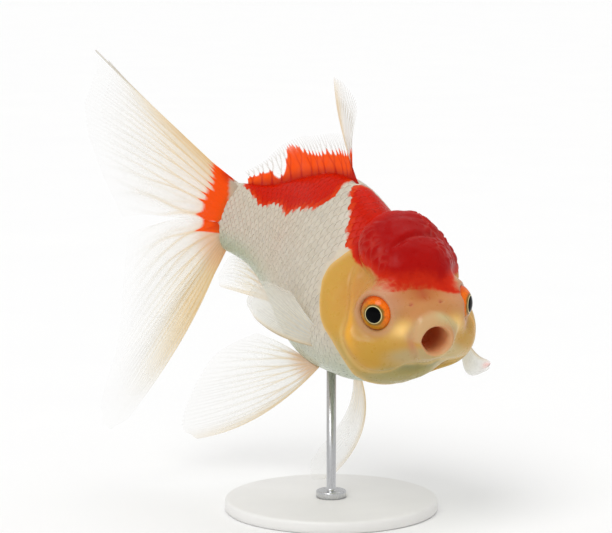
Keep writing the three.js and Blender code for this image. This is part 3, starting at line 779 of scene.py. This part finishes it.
NOSTRIL_AT = 4.9
NOSTRIL_ANGLE = 112.0                 # on the right side


def nostril_place(side):
    return body(section_index(NOSTRIL_AT), NOSTRIL_ANGLE if side < 0 else 180 - NOSTRIL_ANGLE)


def nostril(points, normals, side):
    """A small raised flap with a slit ahead of the eye."""
    offset = points - nostril_place(side)
    slit_way = unit(np.array([0.2, 0.6 * side, 0.75]))
    along = offset @ slit_way
    across = np.linalg.norm(offset - column(along) * slit_way, axis=-1)
    distance = np.linalg.norm(offset, axis=-1)
    height = 0.28 * bell(distance, 1.3) - 0.6 * bell(across, 0.30) * bell(along, 0.6) * bell(distance, 2.0)
    return points + normals * column(height)


def mouth_shape(points, q, u, angle):
    """Sets the mouth a little low and to the left, and draws its right corner to a point."""
    inner = ease(LIP + 2.4, LIP + 0.4, q)
    middle = beside(u, 0, 0)
    up = along_spine("up", u)
    height = np.sum((points - middle) * up, -1)
    squeeze = 0.5 * bell(angle - 186, 34) * inner
    points = points - up * column(height * squeeze)
    return points + direction(u, 0, 0.9, -1.0) * column(inner)


def grid_normals(points):
    """Outward normals of a grid of points that closes round each row."""
    return unit(np.cross(np.gradient(points, axis=0), np.roll(points, -1, 1) - np.roll(points, 1, 1)))


class Paint:
    """Colours laid over each other, each by its own share."""

    def __init__(self, shape, colour):
        self.colour = np.broadcast_to(colour, (*shape, 3)).copy()

    def lay(self, colour, share):
        share = column(np.clip(share, 0, 1))
        self.colour = self.colour * (1 - share) + colour * share


def paint_body(u, angle, q, ahead, points):
    """Colours that flow into each other over the head, and pearl over the trunk; the head's underside is
    darkened as painted shade, and a painted highlight lies on the fold above each eye.
    """
    side = right_side(angle)
    s = np.sin(angle * RAD)
    left = np.cos(angle * RAD)
    cheek = u - line_at(CHEEK_LINE, angle)
    coat = Paint(u.shape, CHEEK)
    coat.lay(GILL_COVER, ease(-0.5, 0.8, cheek))
    coat.lay(GILL_LOW, ease(-0.5, 0.8, cheek) * ease(168, 196, side))
    coat.lay(CHEEK_PINK, spot(u, side, 16, 138, 7, 16) * 0.8)
    coat.lay(CHEEK_GOLD, spot(u, side, 7, 205, 4.5, 32))
    coat.lay(CHEEK_BAND, bell(cheek + 1.7, 1.0) * bell(side - 168, 20) * 0.85)
    coat.lay(BROW_PINK, spot(u, side, 8.5, 119, 5.5, 17) * 0.95)
    coat.lay(FOREHEAD, bell(side - 84, 24) * ease(2.6, 5.5, u))
    coat.lay(MUZZLE, ease(6.2, 3.6, u) * ease(152, 122, side) * 0.95)
    coat.lay(BUMP_YELLOW, spot(u, side, 2.9, 160, 1.7, 19) * 0.95)
    # painted highlight on the raised fold above each eye
    coat.lay(FOLD_HIGHLIGHT, spot(u, side, 10.7, 136, 0.9, 12) * 0.75)
    coat.lay(CHIN, ease(-0.25, -0.7, s) * ease(7, 4, u))
    # painted shade: the underside of the head is darker olive
    coat.lay(THROAT_SHADE, ease(-0.55, -0.9, s) * ease(4.5, 7, u))
    coat.lay(LIP_PINK, ease(2.9, 1.2, u) * ease(-0.3, 0.2, s))
    coat.lay(LIP_GREEN, ease(3.4, 1.6, u) * ease(-0.2, 0.5, left))
    coat.lay(LIP_CORNER, bell(u - line_at(LIP_FOLD, angle), 0.7) * spot(0, side, 0, 200, 1, 34) * 0.8)
    turned = turned_down(angle)
    coat.lay(LIP_GREEN, ease(-20, -38, turned) * ease(-82, -60, turned) * ease(17, 10, u) * 0.7)
    coat.lay(JAW_SHADE, bell(u - JAW_FOLD, 0.9) * ease(238, 254, side) * 0.8)
    coat.lay(GILL_PALE, bell(ahead - 0.3, 1.2) * 0.7)
    coat.lay(GILL_PALE, bell(cheek - 0.5, 0.5) * ease(150, 175, side) * 0.5)
    for way in (-1, 1):
        across, depth = eye_offset(points, way)
        coat.lay(EYE_RING, bell(across - 5.0, 1.1) * (depth > -3) * 0.7)
        coat.lay(NOSTRIL_RED, bell(np.linalg.norm(points - nostril_place(way), axis=-1), 0.55) * 0.9)
    coat.lay(PEARL + (BELLY - PEARL) * column(ease(0.1, -0.75, s)), ease(0.3, -0.1, ahead))
    inside = ease(LIP + 0.25, LIP - 0.3, q)
    coat.lay(MOUTH_SIDE, ease(LIP + 1.5, LIP + 0.2, q) * bell(turned - 18, 60))
    coat.lay(MOUTH_RIM, inside)
    coat.lay(MOUTH_WALL, inside * ease(0.3, 2.4, u))
    coat.lay(MOUTH_DEEP, inside * ease(2.5, 7.0, u))
    return coat.colour


def paint_cap(u, angle, reach, seam, points):
    """Deep red, lighter to the rear and top, with a painted pale pink highlight along the seams between
    lumps, the rim and the furrow.
    """
    cap = Paint(u.shape, CAP_RED)
    cap.lay(CAP_LIGHT, 0.6 * ease(22, 30, u) + 0.35 * ripple(points, 5, 8))
    # painted pale pink highlights: on the seams between lumps, along the rear of the rim and beside the
    # furrow
    cap.lay(CAP_HIGHLIGHT, seam * 0.3)
    cap.lay(CAP_HIGHLIGHT, bell(reach - 0.93, 0.035) * ease(98, 108, angle) * ease(20, 25, u) * 0.5)
    cap.lay(CAP_HIGHLIGHT, bell(u - smooth(*zip(*FURROW), angle) + 0.4, 0.35) * ease(94, 84, angle) * 0.35)
    return cap.colour


def red_depth(u, angle):
    """Millimetres inside the trunk's red patches."""
    return np.maximum(outline_distance(SADDLE_PATCH, u, angle), outline_distance(NAPE_PATCH, u, angle))


SKIN_COLUMNS = 336
THROAT_ROWS = 20
LIP_ROWS = 30
FACE_ROWS = 150
EDGE_ROWS = 12
TRUNK_ROWS = 60


def skin_grid():
    """Places along the sections and angles; rows bend to follow the gill covers' rear edge."""
    even = np.linspace(-90, 270, 2000)
    share = np.cumsum(1 + 0.8 * bell(even - 90, 95))
    angle = np.interp(np.linspace(share[0], share[-1], SKIN_COLUMNS + 1)[:-1], share, even)
    edge = line_at(GILL_EDGE, angle)
    stops = [0 * edge, LIP + 0 * edge, LIP + 2 + 0 * edge, section_index(edge - 0.9),
             section_index(edge + 0.5), LAST + 0 * edge]
    counts = (THROAT_ROWS, LIP_ROWS, FACE_ROWS, EDGE_ROWS, TRUNK_ROWS)
    rows = []
    for start, stop, count in zip(stops, stops[1:], counts):
        rows.append(start + (stop - start) * column(np.arange(count) / count))
    q = np.concatenate([*rows, stops[-1][None]])
    return q, np.broadcast_to(angle, q.shape)


def make_skin():
    """One skin from inside the mouth to the tail's root."""
    q, angle = skin_grid()
    u = smooth(range(LAST + 1), SECTION_ROWS[:, 0], q)
    outside = q > LIP + 0.6
    grow, reach, seam, ahead = relief(u, angle, outside, body(q, angle))
    points = mouth_shape(body(q, angle, grow), q, u, angle)
    normals = grid_normals(points)
    face = face_relief(u, angle) * ease(LIP + 0.5, LIP + 1.0, q) * ease(-0.2, 1.2, ahead)
    swell = 0.22 * ripple(points, 5, 21) + 0.07 * ripple(points, 1.7, 22)
    points = points + normals * column(face + swell * ease(2, 6, u) * outside * ease(-2, 1, ahead))
    for side in (-1, 1):
        points = np.where(column(outside), nostril(points, normals, side), points)
        points = np.where(column(outside), lid(points, side), points)
    paint = paint_body(u, angle, q, ahead, points)
    cap_paint = paint_cap(u, angle, reach, seam, points)
    red = np.where(outside & (u > RED_FROM), red_depth(u, angle), OUTSIDE)
    cap = np.where(outside, outline_distance(CAP_PATCH, u, angle), OUTSIDE)
    rows, columns = q.shape
    points = points.reshape(-1, 3)
    count = len(points)
    ends = [points[:columns].mean(0), points[-columns:].mean(0) + 1.2 * direction(BODY_END, 1, 0, 0)]
    j = np.arange(0, columns, 2)
    last_row = (rows - 1) * columns
    first = np.stack([np.full_like(j, count), (j + 2) % columns, j + 1, j], -1)
    last = np.stack([np.full_like(j, count + 1), last_row + j, last_row + j + 1,
                     last_row + (j + 2) % columns], -1)
    faces = np.concatenate([grid_faces(rows, columns, wrap=True), first, last])[:, ::-1]

    def with_ends(values, at_first, at_last):
        values = np.reshape(values, (count, -1))
        return np.concatenate([values, [np.atleast_1d(at_first)], [np.atleast_1d(at_last)]]).squeeze()

    flesh = ("head", "mouth", "wen", "gill_cover_right", "gill_cover_left", "trunk", "tail_root")
    values = {"paint": with_ends(paint, MOUTH_DEEP, PEARL), "cap_paint": with_ends(cap_paint, RED, RED),
              "red": with_ends(red, OUTSIDE, OUTSIDE), "cap": with_ends(cap, OUTSIDE, OUTSIDE)}
    return new_object("fish_skin", np.concatenate([points, ends]), faces, SKIN,
                      replaced=flesh, point_values=values)


# ======== scales
SCALE_LENGTH = 2.3                    # exposed, at the shoulder
SCALE_ROW = 2.1                       # from one row to the next, at the deepest
SCALE_OVERLAP = 1.75                  # a scale's whole length to its exposed part
SCALE_PATCH = 0.003                   # a scale's size in the OFBake map
SCALE_ACROSS = 7                      # points of a scale's grid
SCALE_ALONG = 6
SCALE_GATHER = 1.45                   # how much the grid's rows gather at the rear rim, from 1


def arc_tables():
    """For each distance behind the mouth: arc lengths from the lateral line to the ridge and to the
    belly, and the angle at even shares of them."""
    stations = np.linspace(8, BODY_END, 140)
    angles = np.linspace(90, 270, 361)
    q, a = np.meshgrid(section_index(stations), angles, indexing="ij")
    points = body(q, a)
    steps = np.linalg.norm(np.diff(points, axis=1), axis=-1)
    arc = np.concatenate([np.zeros((len(stations), 1)), np.cumsum(steps, 1)], 1)
    middle = arc[:, 180]
    up = middle
    down = arc[:, -1] - middle
    shares = np.linspace(-1, 1, 121)
    table = np.empty((len(stations), len(shares)))
    for i in range(len(stations)):
        wanted = np.where(shares > 0, middle[i] - shares * up[i], middle[i] - shares * down[i])
        table[i] = np.interp(wanted, arc[i], angles)
    return stations, up, down, shares, table


ARC_U, ARC_UP, ARC_DOWN, ARC_SHARES, ARC_ANGLE = arc_tables()


def angle_at(u, arc):
    """The right-side angle that lies arc millimetres above the lateral line."""
    limit = np.where(arc > 0, np.interp(u, ARC_U, ARC_UP), np.interp(u, ARC_U, ARC_DOWN))
    share = np.clip(arc / limit, -1, 1)
    x = np.clip((u - ARC_U[0]) / (ARC_U[1] - ARC_U[0]), 0, len(ARC_U) - 1.001)
    y = np.clip((share + 1) / (ARC_SHARES[1] - ARC_SHARES[0]), 0, len(ARC_SHARES) - 1.001)
    i = x.astype(int)
    j = y.astype(int)
    fx = x - i
    fy = y - j
    return ((1 - fx) * (1 - fy) * ARC_ANGLE[i, j] + fx * (1 - fy) * ARC_ANGLE[i + 1, j]
            + (1 - fx) * fy * ARC_ANGLE[i, j + 1] + fx * fy * ARC_ANGLE[i + 1, j + 1])


def scale_share(u):
    """A scale's length to the shoulder's: scales get shorter toward the tail."""
    return np.interp(u, [40, 87], [1.0, 0.72])


def row_height(u):
    """Half of a scale's row, which follows the body's depth."""
    depth = np.interp(u, ARC_U, ARC_UP + ARC_DOWN)
    return SCALE_ROW * (depth / 75) ** 0.6


def skin_frame(u, angle):
    """Point and outward normal of the trunk's skin."""
    def skin(at, turned):
        under_plate = ease(-0.2, 1.2, line_at(GILL_EDGE, turned) - at)
        grow = trunk_fit(at, turned) - SKIN_DEPTH - left_trim(at, turned) * under_plate
        return body(section_index(at), turned, grow)

    here = skin(u, angle)
    back = skin(u + 0.3, angle) - skin(u - 0.3, angle)
    round_way = skin(u, angle + 1.0) - skin(u, angle - 1.0)
    return here, unit(np.cross(back, round_way))


def scale_roots(seed):
    """Roots of the scales of one side: staggered rows that run along the body and end at ridge and belly."""
    random = np.random.default_rng(seed)
    roots = []
    u = 12.0
    step = 0
    while u < BODY_END - 0.6:
        rows = np.arange(-40, 41) + (0.5 if step % 2 else 0.0)
        arc = rows * 2 * row_height(u)
        up = np.interp(u, ARC_U, ARC_UP)
        down = np.interp(u, ARC_U, ARC_DOWN)
        for a in arc[(arc < up) & (arc > -down)]:
            angle = float(angle_at(np.array(u), np.array(a)))
            start = float(line_at(GILL_EDGE, np.array(angle))) - u
            if start < 0.9:
                roots.append((u, a, random.random(), random.normal(0, 0.05)))
        u += SCALE_LENGTH * float(scale_share(u)) / 2
        step += 1
    return np.array(roots)


def make_scales(name, side, seed):
    """All scales of one side: thin closed lenses, each rooted under the one ahead of it."""
    roots = scale_roots(seed)
    u0 = roots[:, 0][:, None, None]
    arc0 = roots[:, 1][:, None, None]
    length = SCALE_OVERLAP * SCALE_LENGTH * scale_share(u0)
    half = 1.12 * row_height(u0)
    x = (1 - np.linspace(1, 0, SCALE_ALONG) ** SCALE_GATHER)[None, :, None]
    y = np.sin(np.linspace(-90, 90, SCALE_ACROSS) * RAD)[None, None, :]
    rear = 0.42 + 0.58 * np.sqrt(1 - y * y)
    back = x * rear
    u = u0 + back * length + roots[:, 3][:, None, None]
    arc = arc0 + y * half * (0.75 + 0.25 * np.sin(np.clip(back * 1.5, 0, 1) * math.pi / 2))
    angle = angle_at(u, arc)
    if side > 0:
        angle = 180 - angle
    here, normal = skin_frame(np.minimum(u, BODY_END - 0.01), angle)
    here = here + direction(np.full(u.shape, BODY_END), 1, 0, 0) * column(np.maximum(u - BODY_END, 0))
    lift = -0.08 + 0.10 * back + 0.03 * (1 - y * y) - 0.025 * (x > 0.999)
    rim = (x > 0.999) | (np.abs(y) > 0.999) | (x == 0)
    top = here + normal * column(lift)
    bottom = here + normal * column(lift - np.where(rim, 0, 0.09))
    count = len(roots)
    grid = SCALE_ALONG * SCALE_ACROSS
    points = np.stack([top.reshape(count, grid, 3), bottom.reshape(count, grid, 3)], 1)
    inner = ~np.broadcast_to(rim, (1, SCALE_ALONG, SCALE_ACROSS)).reshape(-1)
    keep = np.concatenate([np.ones(grid, bool), inner])
    index = np.cumsum(keep) - 1
    index[grid:][~inner] = index[:grid][~inner]
    faces = grid_faces(SCALE_ALONG, SCALE_ACROSS)
    if side > 0:
        faces = faces[:, ::-1]
    one = np.concatenate([index[faces], index[faces[:, ::-1] + grid]])
    kept = int(keep.sum())
    points = points.reshape(count, 2 * grid, 3)[:, keep]
    all_faces = (one[None] + np.arange(count)[:, None, None] * kept).reshape(-1, 4)

    def spread(values):
        """A grid's values, one set for the top and the same for the bottom."""
        values = values.reshape(count, grid, -1)
        return np.concatenate([values, values], 1)[:, keep].reshape(count * kept, -1).squeeze()

    middle_u = u0 + 0.75 * length
    middle_angle = angle_at(middle_u, arc0)
    if side > 0:
        middle_angle = 180 - middle_angle
    red = 0.65 * red_depth(middle_u, middle_angle) + 0.35 * red_depth(u, angle)
    s = np.sin(angle * RAD)
    paint = PEARL + (BELLY - PEARL) * column(ease(0.1, -0.7, s))
    # random darkening per scale, taken off toward the rear rim as a painted highlight
    tone_and_rim_highlight = np.clip(0.30 + 0.75 * (roots[:, 2][:, None, None] - 0.35) - 0.45 * ease(0.6, 1.0, back), 0, 1)
    u_share = (u0 - 8) / (BODY_END - 8)
    v_share = (middle_angle + 90) / 360
    uv_points = np.stack([u_share + SCALE_PATCH * (back - 0.5), v_share + SCALE_PATCH * (y / 2) + 0 * x], -1)
    values = {"paint": spread(paint), "red": spread(red), "tone_and_rim_highlight": spread(tone_and_rim_highlight)}
    return new_object(name, points.reshape(-1, 3), all_faces, SCALES, point_values=values,
                      uv=spread(uv_points)[all_faces.ravel()])


# ======== fins
# rays: how many leave the root; crowd: how they gather at one edge, from 0; across and along: points
# of the grid; wave: depth of the folds; folds: their number; round: how much the corners are cut back
FIN_KEYS = ("rays", "crowd", "across", "along", "wave", "folds", "round")
FIN_ROWS = {
    "dorsal_fin": (20, 0, 330, 40, 0.3, 8, 0),
    "tail_fin_upper": (10, 0.55, 400, 80, 1.0, 3, 0),
    "tail_fin_lower": (10, -0.55, 400, 80, 1.0, 3, 0.04),
    "anal_fin": (5, -0.2, 180, 50, 0.5, 2, 0.06),
    "pectoral_fin": (9, 0.35, 240, 50, 0.3, 2, 0.14),
    "pelvic_fin": (8, 0.45, 260, 70, 0.5, 2, 0.05),
}
FIN_LOOKS = {fin: dict(zip(FIN_KEYS, row)) for fin, row in FIN_ROWS.items()}
SPLITS = (0.22, 0.55)                 # where along its length each ray divides
FORK_LAP = 0.7                        # each tail lobe's reach over the other beside the fork


def fin_sheet(rays, s, t):
    """The fin's middle surface: s from the first ray to the last, t from root to tip."""
    shares = np.linspace(0, 1, len(rays))
    at = smooth(shares, [r[0] for r in rays], s)
    angle = smooth(shares, [r[1] for r in rays], s)
    bend = [smooth(shares, [r[2][k] for r in rays], s) for k in range(3)]
    tip = [smooth(shares, [r[3][k] for r in rays], s) for k in range(3)]
    root = body(section_index(at), angle, -ROOT_SINK)
    return root + direction(at, *bend) * column(2 * t * (1 - t)) + direction(at, *tip) * column(t * t)


def sheet_normals(sheet):
    return unit(np.cross(np.gradient(sheet, axis=0), np.gradient(sheet, axis=1)))


def ray_distance(places, t):
    """Distance to the nearest ray in ray spacings; each ray splits in two past each of the splits."""
    local = np.abs(places % 1 - 0.5)
    reach = 0.25
    for split in SPLITS:
        local = np.abs(local - reach * ease(split, split + 0.35, t))
        reach /= 2
    return local


def paint_fin(name, s, t, line, jagged, distance):
    """Colour and cover of a fin's points; distance is in millimetres from the root."""
    coat = Paint(s.shape, MEMBRANE)
    coat.lay(RAY_SHADE, line * 0.3)
    coat.lay(RAY_CREAM, line * ease(0.8, 0.1, t) * 0.8)
    cover = 0.18 + 0.34 * ease(0.75, 0.1, t) + 0.30 * line * ease(1.1, 0.3, t)
    fade = ease(1.03, 0.5, t)
    if name.startswith("tail_fin"):
        upper = "upper" in name
        lead = bell(s, 0.46 - 0.28 * t) if upper else bell(1 - s, 0.50 - 0.22 * t)
        coat.lay(LEAD_CREAM, lead * ease(1.05, 0.2, t) * (0.65 + 0.35 * line))
        top = ease(0.60, 0.0, s) if upper else 0
        coat.lay(ROOT_PEACH, ease(10, 2, distance) * 0.7)
        coat.lay(PEARL, ease(7, 4, distance) * top)
        limit = 5.8 + 1.2 * jagged + 1.8 * line + 3.0 * top
        limit = limit if upper else limit * ease(0.32, 0.12, s)
        band = ease(0.5, -0.4, distance - limit) * ease(3.6 * top - 0.6, 3.6 * top + 0.3, distance)
        coat.lay(FIN_ORANGE, band)
        coat.lay(RED_EDGE, band * ease(0.3, 0.0, s) * ease(1.0, -1.0, distance - limit + 3) * 0.7)
        fade = np.maximum(fade, bell(s, 0.06) * upper)
        cover = cover + 0.6 * lead * ease(1.15, 0.4, t) + 0.4 * ease(12, 3, distance)
        inner = ease(0.0, 0.10, 1 - s if upper else s)
        filament = bell(s, 0.045) * ease(0.6, 0.9, t) * upper
        coat.lay(RAY_DARK, filament * 0.5)
        cover = cover + 0.35 * filament
        cover = np.maximum(cover * (0.45 + 0.55 * inner), band * 0.97)
        fade = np.maximum(fade, filament)
    elif name == "dorsal_fin":
        limit = smooth([0, 0.11, 0.22, 0.32, 0.44, 0.56, 0.67, 0.76, 0.79, 0.89, 1],
                       [0.16, 0.20, 0.26, 0.56, 0.60, 0.58, 0.60, 0.74, 0.30, 0.42, 0.50], s)
        band = ease(0.03, -0.02, t - limit - 0.04 * jagged - 0.05 * line)
        coat.lay(RAY_DARK, line * 0.8)
        coat.lay(RAY_CREAM, bell(s, 0.07) * 0.8)
        coat.lay(FIN_ORANGE, band)
        coat.lay(RED, band * (ease(0.34, 0.0, t) * 0.9 + 0.5 * line * ease(0.9, 0.3, t)))
        cover = np.maximum(0.05 + 0.30 * line + 0.6 * bell(s, 0.05) + 0.3 * ease(0.34, 0.2, s), band * 0.96)
        fade = ease(1.05, 0.6, t)
    else:
        coat.lay(ROOT_PEACH, ease(8, 1, distance) * 0.55)
        coat.lay(LEAD_CREAM, bell(s, 0.10) * 0.55)
        cover = cover + 0.25 * bell(s, 0.10) + 0.3 * ease(8, 1, distance)
        if name.startswith("pectoral"):
            coat.lay(PECTORAL_GREY, 0.5 * ease(0.0, 0.2, s))
            coat.lay(RAY_DARK, bell(s, 0.04) * 0.6)
            cover = cover + 0.36
        fade = ease(1.3, 0.5, t)
        if name == "pectoral_fin_left":
            coat.lay(FIN_ORANGE, spot(t, s, 0.93, 0.35, 0.10, 0.18) * 0.8)
    return coat.colour, np.clip(cover * (0.16 + 0.84 * fade), 0.02, 0.97)


def make_fin(name, seed):
    """A closed thin fin with raised branching rays, gentle folds and a ragged margin."""
    look = next(value for key, value in FIN_LOOKS.items() if name.startswith(key))
    s, t = np.meshgrid(np.linspace(0, 1, look["across"]), np.linspace(0, 1, look["along"]), indexing="ij")
    crowd = look["crowd"]
    places = look["rays"] * (s + crowd * s * (1 - s))
    places = places + 0.25 * ripple(np.stack([places * 0.6, 0 * s, 0 * s + seed], -1), 1.0, seed + 7)
    gap = ray_distance(places, t)
    place = np.stack([places, 0 * s, 0 * s + seed], -1)
    jagged = ripple(place * 1.3, 1.0, seed)
    corner = look["round"] * np.abs(2 * s - 1) ** 5
    notch = 0.12 if name == "dorsal_fin" else 0.02
    tip = 0.05 * bell(s - 0.11, 0.045) if name.startswith("tail_fin_upper") else 0
    reach = t * (1 - corner - tip - 0.012 * (1 + ripple(place, 0.8, seed + 3)) - notch * ease(0.03, 0.2, gap))
    sheet = fin_sheet(RAYS[name], s, reach)
    if name.startswith("tail_fin"):
        inner = 1 - s if "upper" in name else s
        lap = FORK_LAP * bell(inner, 0.08) * np.sin(math.pi * np.clip(1.6 * t, 0, 1))
        sheet = sheet + np.array([0, 0, -1 if "upper" in name else 1]) * column(lap)
    spacing = np.linalg.norm(np.gradient(sheet, axis=0), axis=-1) * look["across"] / look["rays"]
    width = np.interp(t, [0, 1], [0.30, 0.13]) / np.maximum(spacing, 0.2)
    line = bell(gap, np.clip(width, 0.06, 0.40))
    normal = sheet_normals(sheet)
    wave = (0.6 * np.sin(2 * math.pi * look["folds"] * (s + 0.12 * t))
            + ripple(np.stack([s * 5, t * 2.5, 0 * s + seed], -1), 1.0, seed + 5))
    edge = np.sqrt(np.sin(s * math.pi).clip(0))
    sheet = sheet + normal * column(look["wave"] * wave * t ** 1.3 * edge)
    normal = sheet_normals(sheet)
    distance = np.linalg.norm(sheet - sheet[:, :1], axis=-1)
    border = np.minimum(s, 1 - s) * look["rays"]
    root_swell = 0.9 * np.exp(-distance / 1.6) * ease(0.0, 0.6, border)
    thick = 0.09 + 0.08 * line * (1 - 0.7 * t) + root_swell + 0.22 * bell(border, 0.25) * (1 - t)
    rows, columns = s.shape
    count = rows * columns
    points = np.concatenate([(sheet + normal * column(thick / 2)).reshape(-1, 3),
                             (sheet - normal * column(thick / 2)).reshape(-1, 3)])
    front = grid_faces(rows, columns)
    around = np.concatenate([np.arange(columns), np.arange(1, rows) * columns + columns - 1,
                             (rows - 1) * columns + np.arange(columns - 2, -1, -1),
                             np.arange(rows - 2, 0, -1) * columns])
    following = np.roll(around, -1)
    rim = np.stack([around, following, following + count, around + count], -1)
    colour, cover = paint_fin(name, s, t, line, jagged, distance)
    faces = np.concatenate([front[:, ::-1], front + count, rim])
    values = {"paint": np.tile(colour.reshape(-1, 3), (2, 1)), "cover": np.tile(cover.reshape(-1), 2)}
    return new_object(name + "_membrane", points, faces, FIN, replaced=(name,), point_values=values)


# ======== eyes
DOME_RISE = 2.4                       # of the eye's clear front over its rim
PUPIL_SHIFT = 0.5                     # ahead of the eyeball's middle
EYE_TURNS = 72
DOME_ROWS = 40
BACK_ROWS = 18


def make_eye(name, side):
    """A ball with a bulging front that sits in the skin's rim."""
    centre, look = eye_axes(side)
    across = unit(np.cross(look, (0, 0, 1)))
    upright = np.cross(across, look)
    turns = np.linspace(0, 2 * math.pi, EYE_TURNS + 1)[:-1]
    front = EYE_OPENING + 0.15
    dome = np.linspace(0.02, front, DOME_ROWS)
    back = np.linspace(0.25, 1.55, BACK_ROWS)
    curve = (front ** 2 + DOME_RISE ** 2) / (2 * DOME_RISE)
    rim = LID_LEVEL - 0.35
    radii = column(np.concatenate([dome, EYE["radius"] * np.cos(back)]))
    depths = column(np.concatenate([rim + DOME_RISE - curve + np.sqrt(curve ** 2 - dome ** 2),
                                    rim + 0.6 - 4.2 * np.sin(back)]))
    points = (centre + column(depths + 0 * turns) * look + column(radii * np.cos(turns)) * across
              + column(radii * np.sin(turns)) * upright)
    ahead = direction(EYE["at"], -1, 0, 0)
    ahead = unit(ahead - (ahead @ look) * look)
    offset = points - (centre + PUPIL_SHIFT * ahead)
    offset = offset - column(offset @ look) * look
    # glow: toward the eye's upper front, where the iris is painted bright orange, partly as a painted
    # highlight
    glow = 0.5 + 0.5 * unit(offset) @ unit(ahead + upright)
    faces = grid_faces(len(radii), len(turns), wrap=True)
    return new_object(name + "_ball", points, faces, EYEBALL, replaced=(name,),
                      point_values={"radius": np.linalg.norm(offset, axis=-1).ravel(), "glow": glow.ravel()})


# ======== stand
def turned_piece(name, profile, count, material, replaced):
    """A piece turned on the origin's axis from pairs of radius and height."""
    turns = np.linspace(0, 2 * math.pi, count + 1)[:-1]
    radius = np.array([r for r, _ in profile])[:, None]
    height = np.array([z for _, z in profile])[:, None]
    points = np.stack([radius * np.cos(turns), radius * np.sin(turns), height + 0 * turns], -1)
    faces = grid_faces(len(profile), count, wrap=True)
    return new_object(name, points, faces[:, ::-1], material, replaced=(replaced,))


def rounded(corner, radius, start, steps=6):
    """Points of a quarter round that ends a flat top or begins a wall."""
    r, z = corner
    return [(r - radius + radius * math.cos(a), z - radius + radius * math.sin(a))
            for a in np.linspace(start, start + math.pi / 2, steps)]


def in_mm(box):
    """The two corners of a box given in metres."""
    return [[v / MM for v in corner] for corner in box]


def make_stand():
    """A round base and a rod with a collar, on the solids' own sizes."""
    radius, _, top = in_mm(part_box("stand_base"))[1]
    wall = [(0.02, 0.0), (radius - 1.2, 0.0), (radius - 0.35, 0.12), (radius, 0.5)]
    crown = rounded((radius, top), 0.9, 0.0)
    well = [(radius * 0.6, top), (0.02, top)]
    turned_piece("stand_base_disc", wall + crown + well, 160, LACQUER, "stand_base")
    rod_low, rod_high = in_mm(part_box("stand_rod"))
    collar = rod_high[0]
    foot = rod_low[2]
    rod = 1.25
    lip = foot + 1.6
    profile = [(0.02, foot - 0.35), (collar, foot - 0.35), *rounded((collar, lip), 0.5, 0.0),
               (rod + 0.5, lip + 0.02), (rod + 0.12, lip + 0.2), (rod, lip + 0.6),
               (rod, rod_high[2] + 0.4), (0.02, rod_high[2] + 0.4)]
    turned_piece("stand_rod_steel", profile, 64, STEEL, "stand_rod")


# ======== stage
CAMERA_AZIMUTH = 49
CAMERA_ELEVATION = 8
CAMERA_DISTANCE = 650
CAMERA_TARGET = (-0.1, -8.7, 65.2)
FRAME_WIDTH_MM = 157.65               # what the frame takes in at that distance
SENSOR_MM = 36


def way_out(azimuth, elevation):
    """The direction from the model toward a camera or a lamp."""
    a = azimuth * RAD
    e = elevation * RAD
    return np.array([math.sin(a) * math.cos(e), -math.cos(a) * math.cos(e), math.sin(e)])


def make_camera():
    away = way_out(CAMERA_AZIMUTH, CAMERA_ELEVATION)
    data = bpy.data.cameras.new("camera")
    data.lens = SENSOR_MM * CAMERA_DISTANCE / FRAME_WIDTH_MM
    data.sensor_width = SENSOR_MM
    data.clip_start = 0.01
    data.clip_end = 20
    camera = bpy.data.objects.new("camera", data)
    camera.location = (np.array(CAMERA_TARGET) + away * CAMERA_DISTANCE) * MM
    camera.rotation_euler = Vector(-away).to_track_quat("-Z", "Y").to_euler()
    bpy.context.scene.collection.objects.link(camera)
    bpy.context.scene.camera = camera


def make_lamp(name, azimuth, elevation, spread, strength):
    """A soft distant lamp that lights fish and floor alike."""
    data = bpy.data.lights.new(name, "SUN")
    data.angle = spread * RAD
    data.energy = strength
    lamp = bpy.data.objects.new(name, data)
    away = Vector(way_out(azimuth, elevation))
    lamp.rotation_euler = (-away).to_track_quat("-Z", "Y").to_euler()
    bpy.context.scene.collection.objects.link(lamp)


FLOOR_SIZE = 12.0
SURROUND_LIGHT = 0.66                 # of the white surround, as light
SURROUND_SEEN = 1.0                   # and as the camera sees it


def make_stage():
    """A pale floor that runs into a white surround, lit by soft lamps."""
    mesh = bpy.data.meshes.new("floor")
    reach = FLOOR_SIZE
    mesh.from_pydata([(-reach, -reach, 0), (reach, -reach, 0), (reach, reach, 0), (-reach, reach, 0)], [],
                     [(0, 1, 2, 3)])
    m = Shader("pale_floor")
    tint = m.mix(m.noise(60, 2), (0.92, 0.92, 0.92), (0.94, 0.94, 0.935))
    mesh.materials.append(m.finish(m.add("ShaderNodeBsdfPrincipled", Base_Color=tint, Roughness=0.7,
                                         Specular_IOR_Level=0.1)))
    floor = bpy.data.objects.new("floor", mesh)
    bpy.context.scene.collection.objects.link(floor)
    world = bpy.data.worlds.new("surround")
    world.use_nodes = True
    tree = world.node_tree
    glow = tree.nodes["Background"]
    glow.inputs["Color"].default_value = (1, 1, 1, 1)
    seen = tree.nodes.new("ShaderNodeLightPath")
    level = tree.nodes.new("ShaderNodeMapRange")
    level.inputs["To Min"].default_value = SURROUND_LIGHT
    level.inputs["To Max"].default_value = SURROUND_SEEN
    tree.links.new(seen.outputs["Is Camera Ray"], level.inputs["Value"])
    tree.links.new(level.outputs["Result"], glow.inputs["Strength"])
    bpy.context.scene.world = world
    make_lamp("key", 20, 52, 30, 1.1)
    make_lamp("top", 200, 72, 40, 0.5)
    bpy.context.scene.view_settings.view_transform = "Standard"


make_camera()
make_stage()
make_skin()
make_scales("scales_right", -1, 31)
make_scales("scales_left", 1, 32)
for number, fin_name in enumerate(RAYS):
    make_fin(fin_name, 40 + number)
make_eye("eye_right", -1)
make_eye("eye_left", 1)
make_stand()
